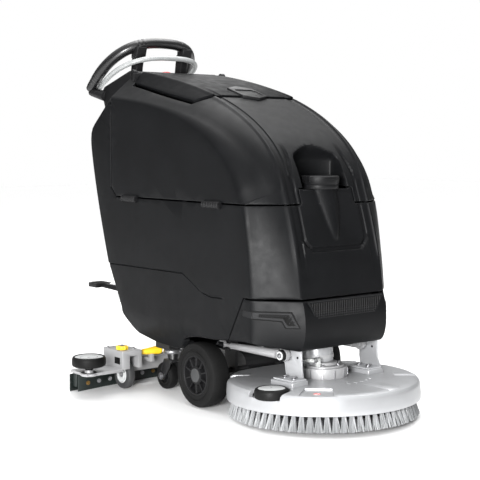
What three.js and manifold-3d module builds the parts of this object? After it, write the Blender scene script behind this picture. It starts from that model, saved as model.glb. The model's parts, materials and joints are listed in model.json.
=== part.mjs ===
// Walk-behind floor scrubber dryer: one disc brush in front, squeegee behind, two driven wheels.
// Millimetres. +X is the travel direction, +Y is left, +Z is up, and z = 0 is the floor.
// Shapes are written with x = 0 at the brush spindle; the exported group is moved along X at the end.

import * as THREE from 'three';
import { ConvexGeometry } from 'three/addons/geometries/ConvexGeometry.js';
import { mergeVertices } from 'three/addons/utils/BufferGeometryUtils.js';
import Module from 'manifold-3d';

const wasm = await Module();
wasm.setup();

// ---------------------------------------------------------------- driving dimensions

const ORIGIN_SHIFT = 360.55;      // from the spindle back to the middle of the overall length
const GAP = 0.4;               // working gap between neighbouring pieces

const BODY_SIDE = 243;         // half width of the tanks over the flat sides
const BODY_CREASE = 148;       // half width of the flat front and top facet
const BODY_INSET = 0.975;      // inner skin of the mouldings over the outer skin
const BODY_MIDDLE = [-330, 520];
const SEAM_Z = 581;            // joint between the solution tank and the recovery tank
const COLUMN_X = -704;         // joint between the recovery tank and the rear column
const BUMPER_TOP = 335;

const BRUSH_RADIUS = 262;
const DECK_RADIUS = 266.7;
const DECK_PITCH = THREE.MathUtils.degToRad(1.4);
const DECK_LIFT = 6.4;         // height of the spindle's end over the floor
const DECK_TOP = 100;          // top of the deck cover over the bristle tips
const PAD_TOP = 112;           // top of the cast pads that carry the brackets
const ARM_Y = 140;
const ARM_REAR = [-274, 170];  // arm pivot on the chassis, x and z
const ARM_FRONT = [0, 180];    // arm pivot on the deck, x and z

const WHEEL_X = -272;
const WHEEL_RADIUS = 92.7;
const WHEEL_INNER_Y = 181;
const WHEEL_OUTER_Y = 241;
const CASTER_SWIVEL = [-500, 156];
const CASTER_TRAIL = 30;
const CASTER_RADIUS = 41;

const SWING_X = -400;
const LIFT_PIVOT = [-440, 125];
const BLADE_ARC_RADIUS = 2142;
const BLADE_REAR_X = -705;
const BLADE_HALF_WIDTH = 412;
const SQUEEGEE_WHEEL = [-613, 258];
const SQUEEGEE_WHEEL_RADIUS = 45;
const BUMPER_ROLLER = [-583, 399];

const TANK_HINGE = [-246, 577];          // y and z of the recovery tank's hinge line
const TANK_HINGE_X = [-595, -183];
const LID_PIVOT = [-685, 950];           // x and z
const LID_REAR = -668;
const LID_FRONT = -305;
const LID_EDGE = [-325, 853];            // a point of the lid's lower edge, x and z
const LID_SLOPE = 0.204;

const GRIP_RADIUS = 16.5;
const LEVER_RADIUS = 7;

const PEDAL_PIVOT = [-716, 284];
const PEDAL_Y = -180;

// ---------------------------------------------------------------- finishes

const finish = (color, roughness, metalness = 0) => ({ color, roughness, metalness });
const ANTHRACITE = finish(0x303133, 0.62);
const BLACK_PLASTIC = finish(0x17181a, 0.5);
const BLACK_RUBBER = finish(0x121314, 0.8);
const GREY_TUBE = finish(0xb9bbbd, 0.4);
const SILVER_PAINT = finish(0xc9cbcd, 0.42, 0.3);
const CAST_SILVER = finish(0xc2c5c7, 0.38, 0.7);
const STEEL = finish(0x9a9da0, 0.35, 0.9);
const BLACK_STEEL = finish(0x1b1c1e, 0.55, 0.4);
const GREY_RUBBER = finish(0x5a5a58, 0.7);
const YELLOW = finish(0xf2c500, 0.4);
const RED = finish(0xc01c20, 0.35);
const BRISTLE = finish(0xd6d7d8, 0.7);
const BLADE_RUBBER = finish(0x1c2422, 0.55);
const CLEAR = finish(0xd8dde0, 0.15);

// ---------------------------------------------------------------- solids

function solid(geometry) {
  const bare = geometry.clone();
  for (const name of Object.keys(bare.attributes)) {
    if (name !== 'position') bare.deleteAttribute(name);
  }
  const merged = mergeVertices(bare, 1e-3);
  return new wasm.Manifold(new wasm.Mesh({
    numProp: 3,
    vertProperties: new Float32Array(merged.attributes.position.array),
    triVerts: new Uint32Array(merged.index.array),
  }));
}

function geometryOf(body) {
  const mesh = body.getMesh();
  const geometry = new THREE.BufferGeometry();
  geometry.setAttribute('position', new THREE.BufferAttribute(new Float32Array(mesh.vertProperties), 3));
  geometry.setIndex(new THREE.BufferAttribute(new Uint32Array(mesh.triVerts), 1));
  geometry.computeVertexNormals();
  return geometry;
}

const join = (...bodies) => bodies.reduce((whole, next) => whole.add(next));
const cut = (body, ...tools) => tools.reduce((rest, tool) => rest.subtract(tool), body);

function box(x0, x1, y0, y1, z0, z1) {
  const geometry = new THREE.BoxGeometry(x1 - x0, y1 - y0, z1 - z0);
  geometry.translate((x0 + x1) / 2, (y0 + y1) / 2, (z0 + z1) / 2);
  return solid(geometry);
}

// A round bar from `start` to `end`, with a second radius where it tapers.
function bar(start, end, radius, endRadius = radius, segments = 12) {
  const from = new THREE.Vector3(...start);
  const to = new THREE.Vector3(...end);
  const geometry = new THREE.CylinderGeometry(endRadius, radius, from.distanceTo(to), segments);
  const turn = new THREE.Quaternion();
  turn.setFromUnitVectors(new THREE.Vector3(0, 1, 0), to.clone().sub(from).normalize());
  geometry.applyQuaternion(turn);
  geometry.translate(...from.add(to).multiplyScalar(0.5).toArray());
  return solid(geometry);
}

const post = (x, y, z0, z1, radius, endRadius = radius, segments = 12) =>
  bar([x, y, z0], [x, y, z1], radius, endRadius, segments);
const pin = (x, z, y0, y1, radius, segments = 12) =>
  bar([x, y0, z], [x, y1, z], radius, radius, segments);

// A profile of (radius, height) pairs turned about +Z.
function turned(profile, segments) {
  const points = profile.map(([r, z]) => new THREE.Vector2(r, z));
  const geometry = new THREE.LatheGeometry(points, segments);
  geometry.rotateX(Math.PI / 2);
  return solid(geometry);
}

// An outline in X and Z, extruded along Y.
function slab(outline, y0, y1) {
  const shape = new THREE.Shape(outline.map(([x, z]) => new THREE.Vector2(x, z)));
  const geometry = new THREE.ExtrudeGeometry(shape, { depth: y1 - y0, bevelEnabled: false });
  geometry.rotateX(Math.PI / 2);
  geometry.translate(0, y1, 0);
  return solid(geometry);
}

function mirrorY(body) {
  return body.mirror([0, 1, 0]);
}

const machine = new THREE.Group();
machine.position.x = ORIGIN_SHIFT;

function place(name, body, look, parent = machine) {
  const material = new THREE.MeshStandardMaterial(look);
  const mesh = new THREE.Mesh(geometryOf(body), material);
  mesh.name = name;
  parent.add(mesh);
  return mesh;
}

// Both hands of a piece drawn on the machine's right, where y is negative.
function placePair(name, body, look, parent = machine) {
  place(`${name}_right`, body, look, parent);
  place(`${name}_left`, mirrorY(body), look, parent);
}

// ---------------------------------------------------------------- body moulding

// Side outline at the flat sides: top and front sweep, then the underside and the raked back.
function sideOutline() {
  const path = new THREE.Path();
  path.moveTo(-705, 882);
  path.bezierCurveTo(-497, 861, -94, 820, -49, 582);
  path.quadraticCurveTo(-14, 440, -11, 200);
  path.lineTo(-390, 151);
  path.lineTo(-560, 171);
  path.lineTo(-659, 249);
  path.lineTo(-727, 372);
  path.quadraticCurveTo(-800, 590, -824, 730);
  path.quadraticCurveTo(-832, 780, -812, 797);
  return path.getPoints(7);
}

// Centre outline, at the flat front and top facet.
function centreOutline() {
  const path = new THREE.Path();
  path.moveTo(-705, 962);
  path.bezierCurveTo(-352, 913, -56, 823, 4, 622);
  path.quadraticCurveTo(62, 470, 78, 337);
  path.lineTo(92, 285);
  path.lineTo(88, 221);
  path.lineTo(70, 200);
  path.lineTo(-390, 151);
  return path.getPoints(7);
}

function bodyHull(scale = 1) {
  const [midX, midZ] = BODY_MIDDLE;
  const points = [];
  const add = (outline, halfWidth) => {
    for (const p of outline) {
      const x = midX + (p.x - midX) * scale;
      const z = midZ + (p.y - midZ) * scale;
      points.push(new THREE.Vector3(x, halfWidth * scale, z), new THREE.Vector3(x, -halfWidth * scale, z));
    }
  };
  add(sideOutline(), BODY_SIDE);
  add(centreOutline(), BODY_CREASE);
  return solid(new ConvexGeometry(points));
}

const outerSkin = bodyHull();
const innerSkin = bodyHull(BODY_INSET);

// The recovery tank's share of the moulding, grown by `gap` for the tank it stands on.
function tankRegion(gap) {
  const back = COLUMN_X + 1.5 - gap;
  const outline = [
    [back, 609 - gap], [-676 - gap, SEAM_Z - gap], [200, SEAM_Z - gap], [200, 1100], [back, 1100],
  ];
  return slab(outline, -300, 300);
}

// The filler tongue stands up through the recovery tank's front.
const tongue = box(-95, 200, -93, 93, 560, 619);
const tongueNotch = box(-99, 200, -97, 97, 560, 623);

const scoop = slab([[-88, 600], [-88, 690], [-60, 745], [80, 760], [80, 600]], -66, 66);

function bumperRegion(gap) {
  return slab([[-128 - gap, 190], [-49 - gap, BUMPER_TOP + gap], [200, BUMPER_TOP + gap], [200, 190]], -300, 300);
}

// The room over the brush deck, kept inside the mouldings' inner skin.
const bumperHollow = innerSkin.intersect(box(-200, 76, -230, 230, 150, BUMPER_TOP - 8));

function hingePockets() {
  return join(...TANK_HINGE_X.map((x) => {
    const [y, z] = TANK_HINGE;
    return bar([x - 44, y, z], [x + 44, y, z], 12, 12, 16);
  }));
}

function wheelArches() {
  const arch = pin(WHEEL_X, WHEEL_RADIUS, -260, -168, 105, 32);
  return join(arch, mirrorY(arch));
}

function solutionTank() {
  const batteryBay = join(
    box(-660, -215, -222, 222, 232, 620),
    box(-660, -62, -222, 222, 318, 620),
    box(-800, -640, -222, 222, 300, 800),
  ).intersect(innerSkin);
  const chassisTunnel = join(
    box(-640, 95, -168, 168, 100, 217),
    box(-600, -440, -206, 206, 100, 217),
  );
  const deckBay = box(-200, 60, -205, 205, 100, 302).intersect(bumperHollow);
  const dashboardSeat = slab([[-690, 1000], [-707, 868], [-816, 778], [-900, 778], [-900, 1000]], -170, 170);
  const shell = cut(
    outerSkin, tankRegion(2), bumperRegion(1), batteryBay, chassisTunnel, deckBay,
    wheelArches(), hingePockets(), dashboardSeat,
  );
  const filler = cut(tongue.intersect(outerSkin), box(-300, -30, -60, 60, 500, 600));
  const mouth = post(-20, 0, 560, 700, 34, 34, 24);
  return cut(join(shell, filler), mouth);
}

function recoveryTank() {
  const lidCut = lidRegion(0);
  const hollow = cut(
    innerSkin.intersect(box(-692, -60, -240, 240, SEAM_Z + 11, 1000)),
    box(-135, 0, -140, 140, 500, 790),
    slab([[-900, 1000], [-900, 965], [-200, 815], [0, 774], [0, 1000]], -300, 300),
    box(-700, -600, -300, 300, 560, 622),
  );
  const inspectionHole = box(-600, -380, -130, 130, 800, 1000);
  const hingeSeats = box(-703, -655, -187, -152, 925, 1000);
  return cut(
    outerSkin.intersect(tankRegion(0)), lidCut, hollow, inspectionHole,
    tongueNotch, scoop, hingePockets(), hingeSeats, mirrorY(hingeSeats),
  );
}

// Everything above the lid's lower edge, from its back edge to its front edge.
function lidRegion(gap) {
  const edgeAt = (x) => LID_EDGE[1] + gap - LID_SLOPE * (x - LID_EDGE[0]);
  const back = LID_REAR + gap;
  const front = LID_FRONT - gap;
  return slab([[back, edgeAt(back)], [front, edgeAt(front)], [front, 1100], [back, 1100]], -300, 300);
}

function tankLid() {
  const shell = cut(
    outerSkin.intersect(lidRegion(1.2)),
    innerSkin.intersect(box(LID_REAR + 14, LID_FRONT - 14, -200, 200, 500, 1000)),
  );
  const [x, z] = LID_PIVOT;
  const ear = cut(
    join(box(x, LID_REAR + 8, -168, -160, 936, 952), pin(x, z, -168, -160, 9)),
    pin(x, z, -170, -158, 4.6),
  );
  return join(shell, ear, mirrorY(ear));
}

function lidHinge() {
  const [x, z] = LID_PIVOT;
  return join(
    slab([[x - 12, 925.4], [x + 12, 925.4], [x + 10, 962], [x, 968], [x - 10, 962]], -182, -170.5),
    pin(x, z, -171, -156, 4),
  );
}

function bumper() {
  const grilleSeat = slab([[60, 268], [60, 329], [200, 329], [200, 268]], -131, 131);
  const shell = cut(outerSkin.intersect(bumperRegion(0)), box(-200, 300, -300, 300, 100, 216), bumperHollow);
  return cut(shell, cut(grilleSeat, box(0, 78, -200, 200, 0, 400)));
}

function grille() {
  const plate = outerSkin.intersect(box(78.4, 200, -130, 130, 269, 328));
  const slots = [];
  for (let y = -105; y <= 105; y += 30) {
    slots.push(box(60, 200, y - 9, y + 9, 282, 314));
  }
  return cut(plate, ...slots);
}

function tankHinge(x) {
  const [y, z] = TANK_HINGE;
  return join(
    bar([x - 38, y, z], [x + 38, y, z], 8.5, 8.5, 14),
    box(x - 38, x + 38, y, y + 6, z - 10, z - 5),
  );
}

function buildBody() {
  place('solution_tank', solutionTank(), ANTHRACITE);
  place('recovery_tank', recoveryTank(), ANTHRACITE);
  place('tank_lid', tankLid(), ANTHRACITE);
  placePair('lid_hinge', lidHinge(), BLACK_PLASTIC);
  place('front_bumper', bumper(), ANTHRACITE);
  place('front_grille', grille(), BLACK_PLASTIC);
  place('tank_hinge_rear', tankHinge(TANK_HINGE_X[0]), BLACK_PLASTIC);
  place('tank_hinge_front', tankHinge(TANK_HINGE_X[1]), BLACK_PLASTIC);
  const cap = join(
    post(-20, 0, 619.4, 655, 42, 45, 28),
    post(-20, 0, 590, 619.5, 31, 31, 20),
  );
  const hole = post(-20, 0, 580, 700, 22, 24, 16);
  const notches = [-1, 1].map((side) => box(-32, -8, side * 41 - 8, side * 41 + 8, 630, 660));
  place('fill_cap', cut(cap, hole, ...notches), BLACK_PLASTIC);
}

// ---------------------------------------------------------------- inside the tanks

function buildInside() {
  const tray = cut(box(-625, -75, -205, 205, 320, 345), box(-621, -79, -201, 201, 323, 400));
  place('battery_tray', cut(tray, box(-460, -240, -120, 120, 300, 340)), BLACK_STEEL);
  const battery = (x0) => {
    const terminals = [-60, 60].map((y) => post(x0 + 40, y, 540, 566, 9, 8, 12));
    return join(box(x0, x0 + 255, -170, 170, 323.5, 545), box(x0, x0 + 80, -100, 100, 540, 555), ...terminals);
  };
  place('battery_rear', battery(-612), BLACK_PLASTIC);
  place('battery_front', battery(-345), BLACK_PLASTIC);
  const motorX = -250;
  place('vacuum_motor', join(
    post(motorX, 110, 593, 600, 70, 70, 24),
    post(motorX, 110, 599, 700, 58, 58, 24),
    post(motorX, 110, 699, 735, 42, 30, 24),
  ), BLACK_PLASTIC);
}

// ---------------------------------------------------------------- handle and dashboard

// A bent grip seen in its own sloping plane: `reach` back along the slope, `half` across.
class BowCurve extends THREE.Curve {
  constructor({ front, foot, half, exponent, tuck }) {
    super();
    Object.assign(this, { front, foot, half, exponent, tuck });
  }

  getPoint(t, target = new THREE.Vector3()) {
    const angle = Math.PI * t;
    const c = Math.cos(angle);
    const s = Math.sin(angle);
    const along = 1 - s ** (2 / this.exponent);
    const y = this.half * Math.abs(c) ** (2 / this.exponent) - this.tuck * (1 - s) ** 2;
    const x = this.front[0] + (this.foot[0] - this.front[0]) * along;
    const z = this.front[1] + (this.foot[1] - this.front[1]) * along;
    return target.set(x, -Math.sign(c) * y, z);
  }
}

function bentTube(curve, radius, steps, sides) {
  const section = new THREE.Shape();
  section.absarc(0, 0, radius, 0, 2 * Math.PI, false);
  const options = { steps, extrudePath: curve, curveSegments: sides };
  return solid(new THREE.ExtrudeGeometry(section, options));
}

const gripCurve = new BowCurve({ front: [-773, 1062], foot: [-955, 919], half: 174, exponent: 2.6, tuck: 11 });
const leverCurve = new BowCurve({ front: [-727, 1012], foot: [-972, 916], half: 168, exponent: 2.9, tuck: 38 });

function dashboard() {
  const outline = [
    [-708.5, 872], [-708.5, 962], [-716, 966], [-868, 922], [-884, 905], [-866, 860], [-832, 812], [-814, 783],
  ];
  const wedge = slab(outline, -164, 164);
  const panelSeat = slab([[-860, 913.6], [-736, 949.6], [-736, 990], [-860, 990]], -92, 92);
  const bracket = join(
    bar([-866, -160, 893], [-948, -160, 909], 17, 14, 14),
    pin(-972, 909, -156, -108, 9, 12),
    bar([-944, -160, 909], [-972, -152, 909], 12, 9, 12),
  );
  return cut(join(wedge, bracket, mirrorY(bracket)), panelSeat);
}

// Pieces on the sloping panel: x along the panel, y across it, z out of it.
const panel = new THREE.Group();
panel.position.set(-800, 0, 938.6);
panel.rotation.y = -Math.atan2(36, 124);
machine.add(panel);

function buildHandle() {
  place('dashboard', dashboard(), BLACK_PLASTIC);
  const gripCut = box(-990, -915, -200, 200, 880, 925);
  place('handlebar', cut(bentTube(gripCurve, GRIP_RADIUS, 24, 4), gripCut), BLACK_RUBBER);
  const strut = slab([[-822, 936], [-786, 946], [-774, 1030], [-806, 1030]], -97, -73);
  const barRoom = bentTube(gripCurve, GRIP_RADIUS + GAP, 24, 4);
  placePair('handle_strut', cut(strut, barRoom, dashboard()), BLACK_PLASTIC);
  const eye = join(pin(-972, 909, -138, -124, 15, 14), box(-976, -962, -138, -124, 909, 930));
  const pinRoom = pin(-972, 909, -200, 200, 9.5, 12);
  const lever = join(bentTube(leverCurve, LEVER_RADIUS, 24, 3), eye, mirrorY(eye));
  place('deadman_lever', cut(lever, pinRoom), GREY_TUBE);

  const plate = cut(
    box(-58, 58, -88, 88, -6.2, 1.5), post(30, 40, -10, 10, 9.5), post(0, 40, -10, 10, 9.5),
    post(30, 5, -10, 10, 23, 23, 20), post(-32, 40, -10, 10, 12),
  );
  place('display_panel', plate, BLACK_PLASTIC, panel);
  place('emergency_stop', join(post(30, 5, 4, 17, 25, 22, 24), post(30, 5, -2.4, 4.5, 15)), RED, panel);
  place('start_button', post(30, 40, -2.4, 4, 9), GREY_TUBE, panel);
  place('program_button', post(0, 40, -2.4, 4, 9), GREY_TUBE, panel);
  place('key_switch', join(post(-32, 40, -2.4, 4, 11.5), box(-43, -21, 38.5, 41.5, 3, 24)), STEEL, panel);
}

// ---------------------------------------------------------------- chassis, wheels, casters

function chassisFrame() {
  const [armX, armZ] = ARM_REAR;
  const half = join(
    box(-560, -105, -90, -60, 180, 205),
    box(-560, -440, -192, 0, 180, 205),
    box(-135, -105, -90, 0, 180, 205),
    box(-430, -370, -90, 0, 180, 205),
    box(-306, -238, -130, 0, 180, 205),
    box(-300, -252, -112, -102, 72, 205),
    box(-540, -468, -192, -120, 130, 181),
    box(armX - 18, armX + 18, -131, -122, 152, 181),
    pin(armX, armZ, -150, -130, 6),
  );
  const axleRoom = pin(WHEEL_X, WHEEL_RADIUS, -130, -90, 9);
  const one = cut(half, axleRoom);
  const squeegeeMount = join(
    box(SWING_X - 28, SWING_X + 28, -28, 28, 150, 181),
    post(SWING_X, 0, 100, 151, 8),
    post(SWING_X, 0, 94, 101, 15),
  );
  return join(one, mirrorY(one), squeegeeMount);
}

function transaxle() {
  const half = join(
    pin(-302, 100, -60, 0, 36, 20),
    pin(WHEEL_X, WHEEL_RADIUS, -224, -50, 8),
  );
  return join(half, mirrorY(half), bar([-310, 0, 104], [-376, 0, 104], 30, 28, 16));
}

function buildWheels() {
  const middleY = (WHEEL_INNER_Y + WHEEL_OUTER_Y) / 2;
  const half = (WHEEL_OUTER_Y - WHEEL_INNER_Y) / 2;
  const tyre = turned([
    [56, -half + 2], [84, -half], [WHEEL_RADIUS, -half + 9], [WHEEL_RADIUS, half - 9], [84, half],
    [56, half - 2], [56, -half + 2],
  ], 36);
  const rim = turned([
    [8.5, -half + 3], [55.6, -half + 3], [55.6, half - 5], [50, half - 5], [48, half - 24],
    [27, half - 24], [25, half], [0, half], [0, half - 12], [8.5, half - 12], [8.5, -half + 3],
  ], 24);
  for (const [side, sign] of [['right', -1], ['left', 1]]) {
    const wheel = new THREE.Group();
    wheel.position.set(WHEEL_X, sign * middleY, WHEEL_RADIUS);
    wheel.rotation.x = -sign * Math.PI / 2;
    machine.add(wheel);
    place(`main_tyre_${side}`, tyre, BLACK_RUBBER, wheel);
    place(`main_rim_${side}`, rim, BLACK_PLASTIC, wheel);
  }
}

function buildCasters() {
  const [x, y] = CASTER_SWIVEL;
  const wheelX = x - CASTER_TRAIL;
  const cheek = slab([
    [x + 18, 96], [x - 20, 96], [wheelX - 10, 48], [wheelX - 8, 32], [wheelX + 8, 30], [x + 8, 70],
  ], -y - 21, -y - 17);
  const fork = join(
    post(x, -y, 95, 129.6, 15, 20, 20),
    box(x - 20, x + 18, -y - 21, -y + 21, 88, 96),
    cheek,
    slab([[x + 18, 96], [x - 20, 96], [wheelX - 10, 48], [wheelX - 8, 32], [wheelX + 8, 30], [x + 8, 70]], -y + 17, -y + 21),
    pin(wheelX, CASTER_RADIUS, -y - 24, -y + 24, 5, 12),
  );
  placePair('caster_fork', fork, BLACK_STEEL);
  const wheel = turned([
    [5.5, -15], [CASTER_RADIUS - 4, -14], [CASTER_RADIUS, -8], [CASTER_RADIUS, 8],
    [CASTER_RADIUS - 4, 14], [5.5, 15], [5.5, -15],
  ], 22);
  for (const [side, sign] of [['right', -1], ['left', 1]]) {
    const group = new THREE.Group();
    group.position.set(wheelX, sign * y, CASTER_RADIUS);
    group.rotation.x = -sign * Math.PI / 2;
    machine.add(group);
    place(`caster_wheel_${side}`, wheel, GREY_RUBBER, group);
  }
}

function buildChassis() {
  place('chassis_frame', chassisFrame(), BLACK_STEEL);
  place('transaxle', transaxle(), BLACK_STEEL);
  buildWheels();
  buildCasters();
}

// ---------------------------------------------------------------- squeegee

// A strip that follows the squeegee's bow, from `inner` to `outer` behind its reference arc.
function bowStrip(inner, outer, halfWidth, z0, z1) {
  const steps = 10;
  const centreX = BLADE_REAR_X + BLADE_ARC_RADIUS;
  const reach = Math.asin(halfWidth / BLADE_ARC_RADIUS);
  const outline = [];
  const sweep = (offset, direction) => {
    for (let i = -steps; i <= steps; i += 1) {
      const angle = direction * reach * i / steps;
      const radius = BLADE_ARC_RADIUS + offset;
      outline.push(new THREE.Vector2(centreX - radius * Math.cos(angle), radius * Math.sin(angle)));
    }
  };
  sweep(inner, 1);
  sweep(outer, -1);
  const geometry = new THREE.ExtrudeGeometry(new THREE.Shape(outline), { depth: z1 - z0, bevelEnabled: false });
  geometry.translate(0, 0, z0);
  return solid(geometry);
}

function squeegeeBeam() {
  const [wheelX, wheelY] = SQUEEGEE_WHEEL;
  const [rollerX, rollerY] = BUMPER_ROLLER;
  const half = join(
    box(-640, -608, -235, 0, 50, 88),
    box(-695, -612, -110, 0, 63, 72),
    cut(box(-664, -556, -300, -232, 70, 124), box(-700, -500, -274, -243, 0, 108)),
    box(wheelX - 16, wheelX + 16, -243, -232, 34, 72),
    pin(wheelX, SQUEEGEE_WHEEL_RADIUS, -272, -236, 5, 12),
    cut(box(-664, -640, -300, -232, 63, 90), box(-700, -500, -274, -243, 0, 108)),
    box(-655, -560, -420, -298, 63, 71),
    box(-655, -600, -300, -296, 63, 84),
    post(rollerX, -rollerY, 70, 112, 6, 6, 14),
    post(rollerX, -rollerY, 70, 78, 13, 13, 14),
  );
  return join(half, mirrorY(half));
}

function buildSqueegee() {
  const [pivotX, pivotZ] = LIFT_PIVOT;
  const swing = cut(
    join(
      post(SWING_X, 0, 104, 148, 21, 21, 20),
      box(pivotX - 12, SWING_X, -24, -14.5, 110, 140),
      box(pivotX - 12, SWING_X, 14.5, 24, 110, 140),
      pin(pivotX, pivotZ, -20, 20, 6),
    ),
    post(SWING_X, 0, 90, 160, 8.5),
  );
  place('swing_bracket', swing, CAST_SILVER);
  const arm = cut(
    join(
      box(-628, pivotX, -13.5, 13.5, 113, 136),
      pin(pivotX, pivotZ, -13.5, 13.5, 12),
      box(-664, -604, -72, 72, 113, 121),
      box(-664, -604, -20, 20, 88.5, 114),
    ),
    pin(pivotX, pivotZ, -20, 20, 6.5),
  );
  place('squeegee_arm', arm, CAST_SILVER);
  place('squeegee_beam', squeegeeBeam(), CAST_SILVER);
  place('squeegee_holder', bowStrip(-9, 9, 400, 14, 62.5), BLADE_RUBBER);
  place('blade_rear', bowStrip(9.4, 13.4, 412, 0.2, 52), BLADE_RUBBER);
  place('blade_front', bowStrip(-13.4, -9.4, 396, 0.2, 48), BLADE_RUBBER);

  const [wheelX, wheelY] = SQUEEGEE_WHEEL;
  const [rollerX, rollerY] = BUMPER_ROLLER;
  const wheel = turned([
    [5.5, -12], [SQUEEGEE_WHEEL_RADIUS - 4, -12], [SQUEEGEE_WHEEL_RADIUS, -7], [SQUEEGEE_WHEEL_RADIUS, 7],
    [SQUEEGEE_WHEEL_RADIUS - 4, 12], [5.5, 12], [5.5, -12],
  ], 22);
  for (const [side, sign] of [['right', -1], ['left', 1]]) {
    const group = new THREE.Group();
    group.position.set(wheelX, sign * wheelY, SQUEEGEE_WHEEL_RADIUS);
    group.rotation.x = -sign * Math.PI / 2;
    machine.add(group);
    place(`squeegee_wheel_${side}`, wheel, GREY_RUBBER, group);
  }
  placePair('bumper_roller', cut(
    join(post(rollerX, -rollerY, 90, 120, 50, 50, 28), post(rollerX, -rollerY, 79, 91, 13, 17, 12)),
    post(rollerX, -rollerY, 70, 113, 6.5, 6.5, 14),
  ), BLACK_RUBBER);
  placePair('height_knob', post(-590, -280, 124.4, 138, 17, 15, 16), YELLOW);
  placePair('squeegee_knob', join(
    post(-626, -50, 121.4, 142, 11, 9, 14),
    box(-631, -621, -72, -28, 128, 142),
  ), YELLOW);
}

function buildLiftPedal() {
  const [x, z] = PEDAL_PIVOT;
  const y = PEDAL_Y;
  place('pedal_bracket', cut(
    join(
      slab([[-664, 236], [-664, 300], [x - 10, 298], [x - 10, 262], [-860, 268], [-860, 244], [-800, 236]], y + 12, y + 16),
      pin(x, z, y + 2, y + 13, 5),
    ),
    outerSkin,
  ), GREY_TUBE);
  place('lift_pedal', cut(
    join(
      slab([[x + 10, z - 9], [x + 10, z + 9], [-895, 291], [-895, 280], [x - 10, z - 9]], y - 6, y + 6),
      box(-910, -862, y - 26, y + 26, 278, 292),
    ),
    pin(x, z, y - 10, y + 20, 5.5),
  ), BLACK_PLASTIC);
}

// ---------------------------------------------------------------- brush deck

const deck = new THREE.Group();
deck.position.z = DECK_LIFT;
deck.rotation.y = -DECK_PITCH;
machine.add(deck);

// A machine point (x, z) written in the pitched deck's own frame.
function inDeck([x, z]) {
  const height = z - DECK_LIFT;
  const c = Math.cos(DECK_PITCH);
  const s = Math.sin(DECK_PITCH);
  return [x * c + height * s, height * c - x * s];
}

const DECK_ROLLER = [56, -230];
const MOTOR_X = -22;
const GEAR_X = 4;

function deckCover() {
  const shell = turned([
    [0, 92], [225, 91], [254, 88], [261, 45], [DECK_RADIUS, 45], [263, 91], [257, 97], [235, 99],
    [150, DECK_TOP], [0, DECK_TOP],
  ], 44);
  const [x, y] = DECK_ROLLER;
  const floor = post(x, y, 70, 77, 53, 53, 20).intersect(post(0, 0, 60, 90, 262.6, 262.6, 44));
  const wall = cut(
    post(x, y, 70, 98, 56, 56, 20).intersect(post(0, 0, 60, 110, 256, 256, 44)),
    post(x, y, 60, 120, 51, 51, 20),
  );
  const pocket = post(x, y, 77, 140, 51, 51, 20);
  const wheelRoom = pin(WHEEL_X, WHEEL_RADIUS - DECK_LIFT, -300, -174, 113, 32);
  const pads = [box(-8, 70, -172, -118, 94, PAD_TOP), box(-8, 72, 104, 154, 94, PAD_TOP)];
  return cut(
    join(cut(shell, pocket), floor, wall, post(x, y, 76, 84, 9, 9, 14), ...pads),
    post(0, 0, 80, 130, 26, 26, 20), box(-300, -222, -200, 200, 0, 200), wheelRoom, mirrorY(wheelRoom),
  );
}

function deckBracketLeft() {
  const [pivotX, pivotZ] = inDeck(ARM_FRONT);
  const bottom = PAD_TOP + GAP;
  return join(
    slab([[-8, bottom], [72, bottom], [60, 140], [58, 212], [-10, 210], [-12, 140]], 150, 154),
    box(-8, 72, 104, 152, bottom, bottom + 4),
    pin(pivotX, pivotZ, 153, 162, 11),
    pin(pivotX, pivotZ, 133, 153, 6),
  );
}

// The right bracket stands inside its arm and turns its foot outwards.
function deckBracketRight() {
  const [pivotX, pivotZ] = inDeck(ARM_FRONT);
  const bottom = PAD_TOP + GAP;
  return join(
    slab([[-8, bottom], [60, bottom], [56, 140], [54, 206], [-24, 200], [-14, 150]], -125.6, -121.6),
    box(-8, 70, -170, -122, bottom, bottom + 4),
    pin(pivotX, pivotZ, -133.4, -125, 11),
    pin(pivotX, pivotZ, -150, -125, 6),
    pin(pivotX, pivotZ, -156, -146.8, 11),
  );
}

function deckArm() {
  const [rearX, rearZ] = ARM_REAR;
  const [frontX, frontZ] = ARM_FRONT;
  const y = -ARM_Y;
  const at = (x) => [x, y, rearZ + (frontZ - rearZ) * (x - rearX) / (frontX - rearX)];
  return cut(
    join(
      pin(rearX, rearZ, y - 6, y + 6, 13),
      bar(at(rearX), at(-230), 5.5),
      bar(at(-232), at(-10), 9, 14),
      pin(frontX, frontZ, y - 6, y + 6, 17),
    ),
    pin(rearX, rearZ, y - 20, y + 20, 6.5),
    pin(frontX, frontZ, y - 20, y + 20, 6.5),
    box(-27, 30, y - 40, y - 6.2, 100, 260),
    box(-27, 30, y + 6.2, y + 40, 100, 260),
  );
}

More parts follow.
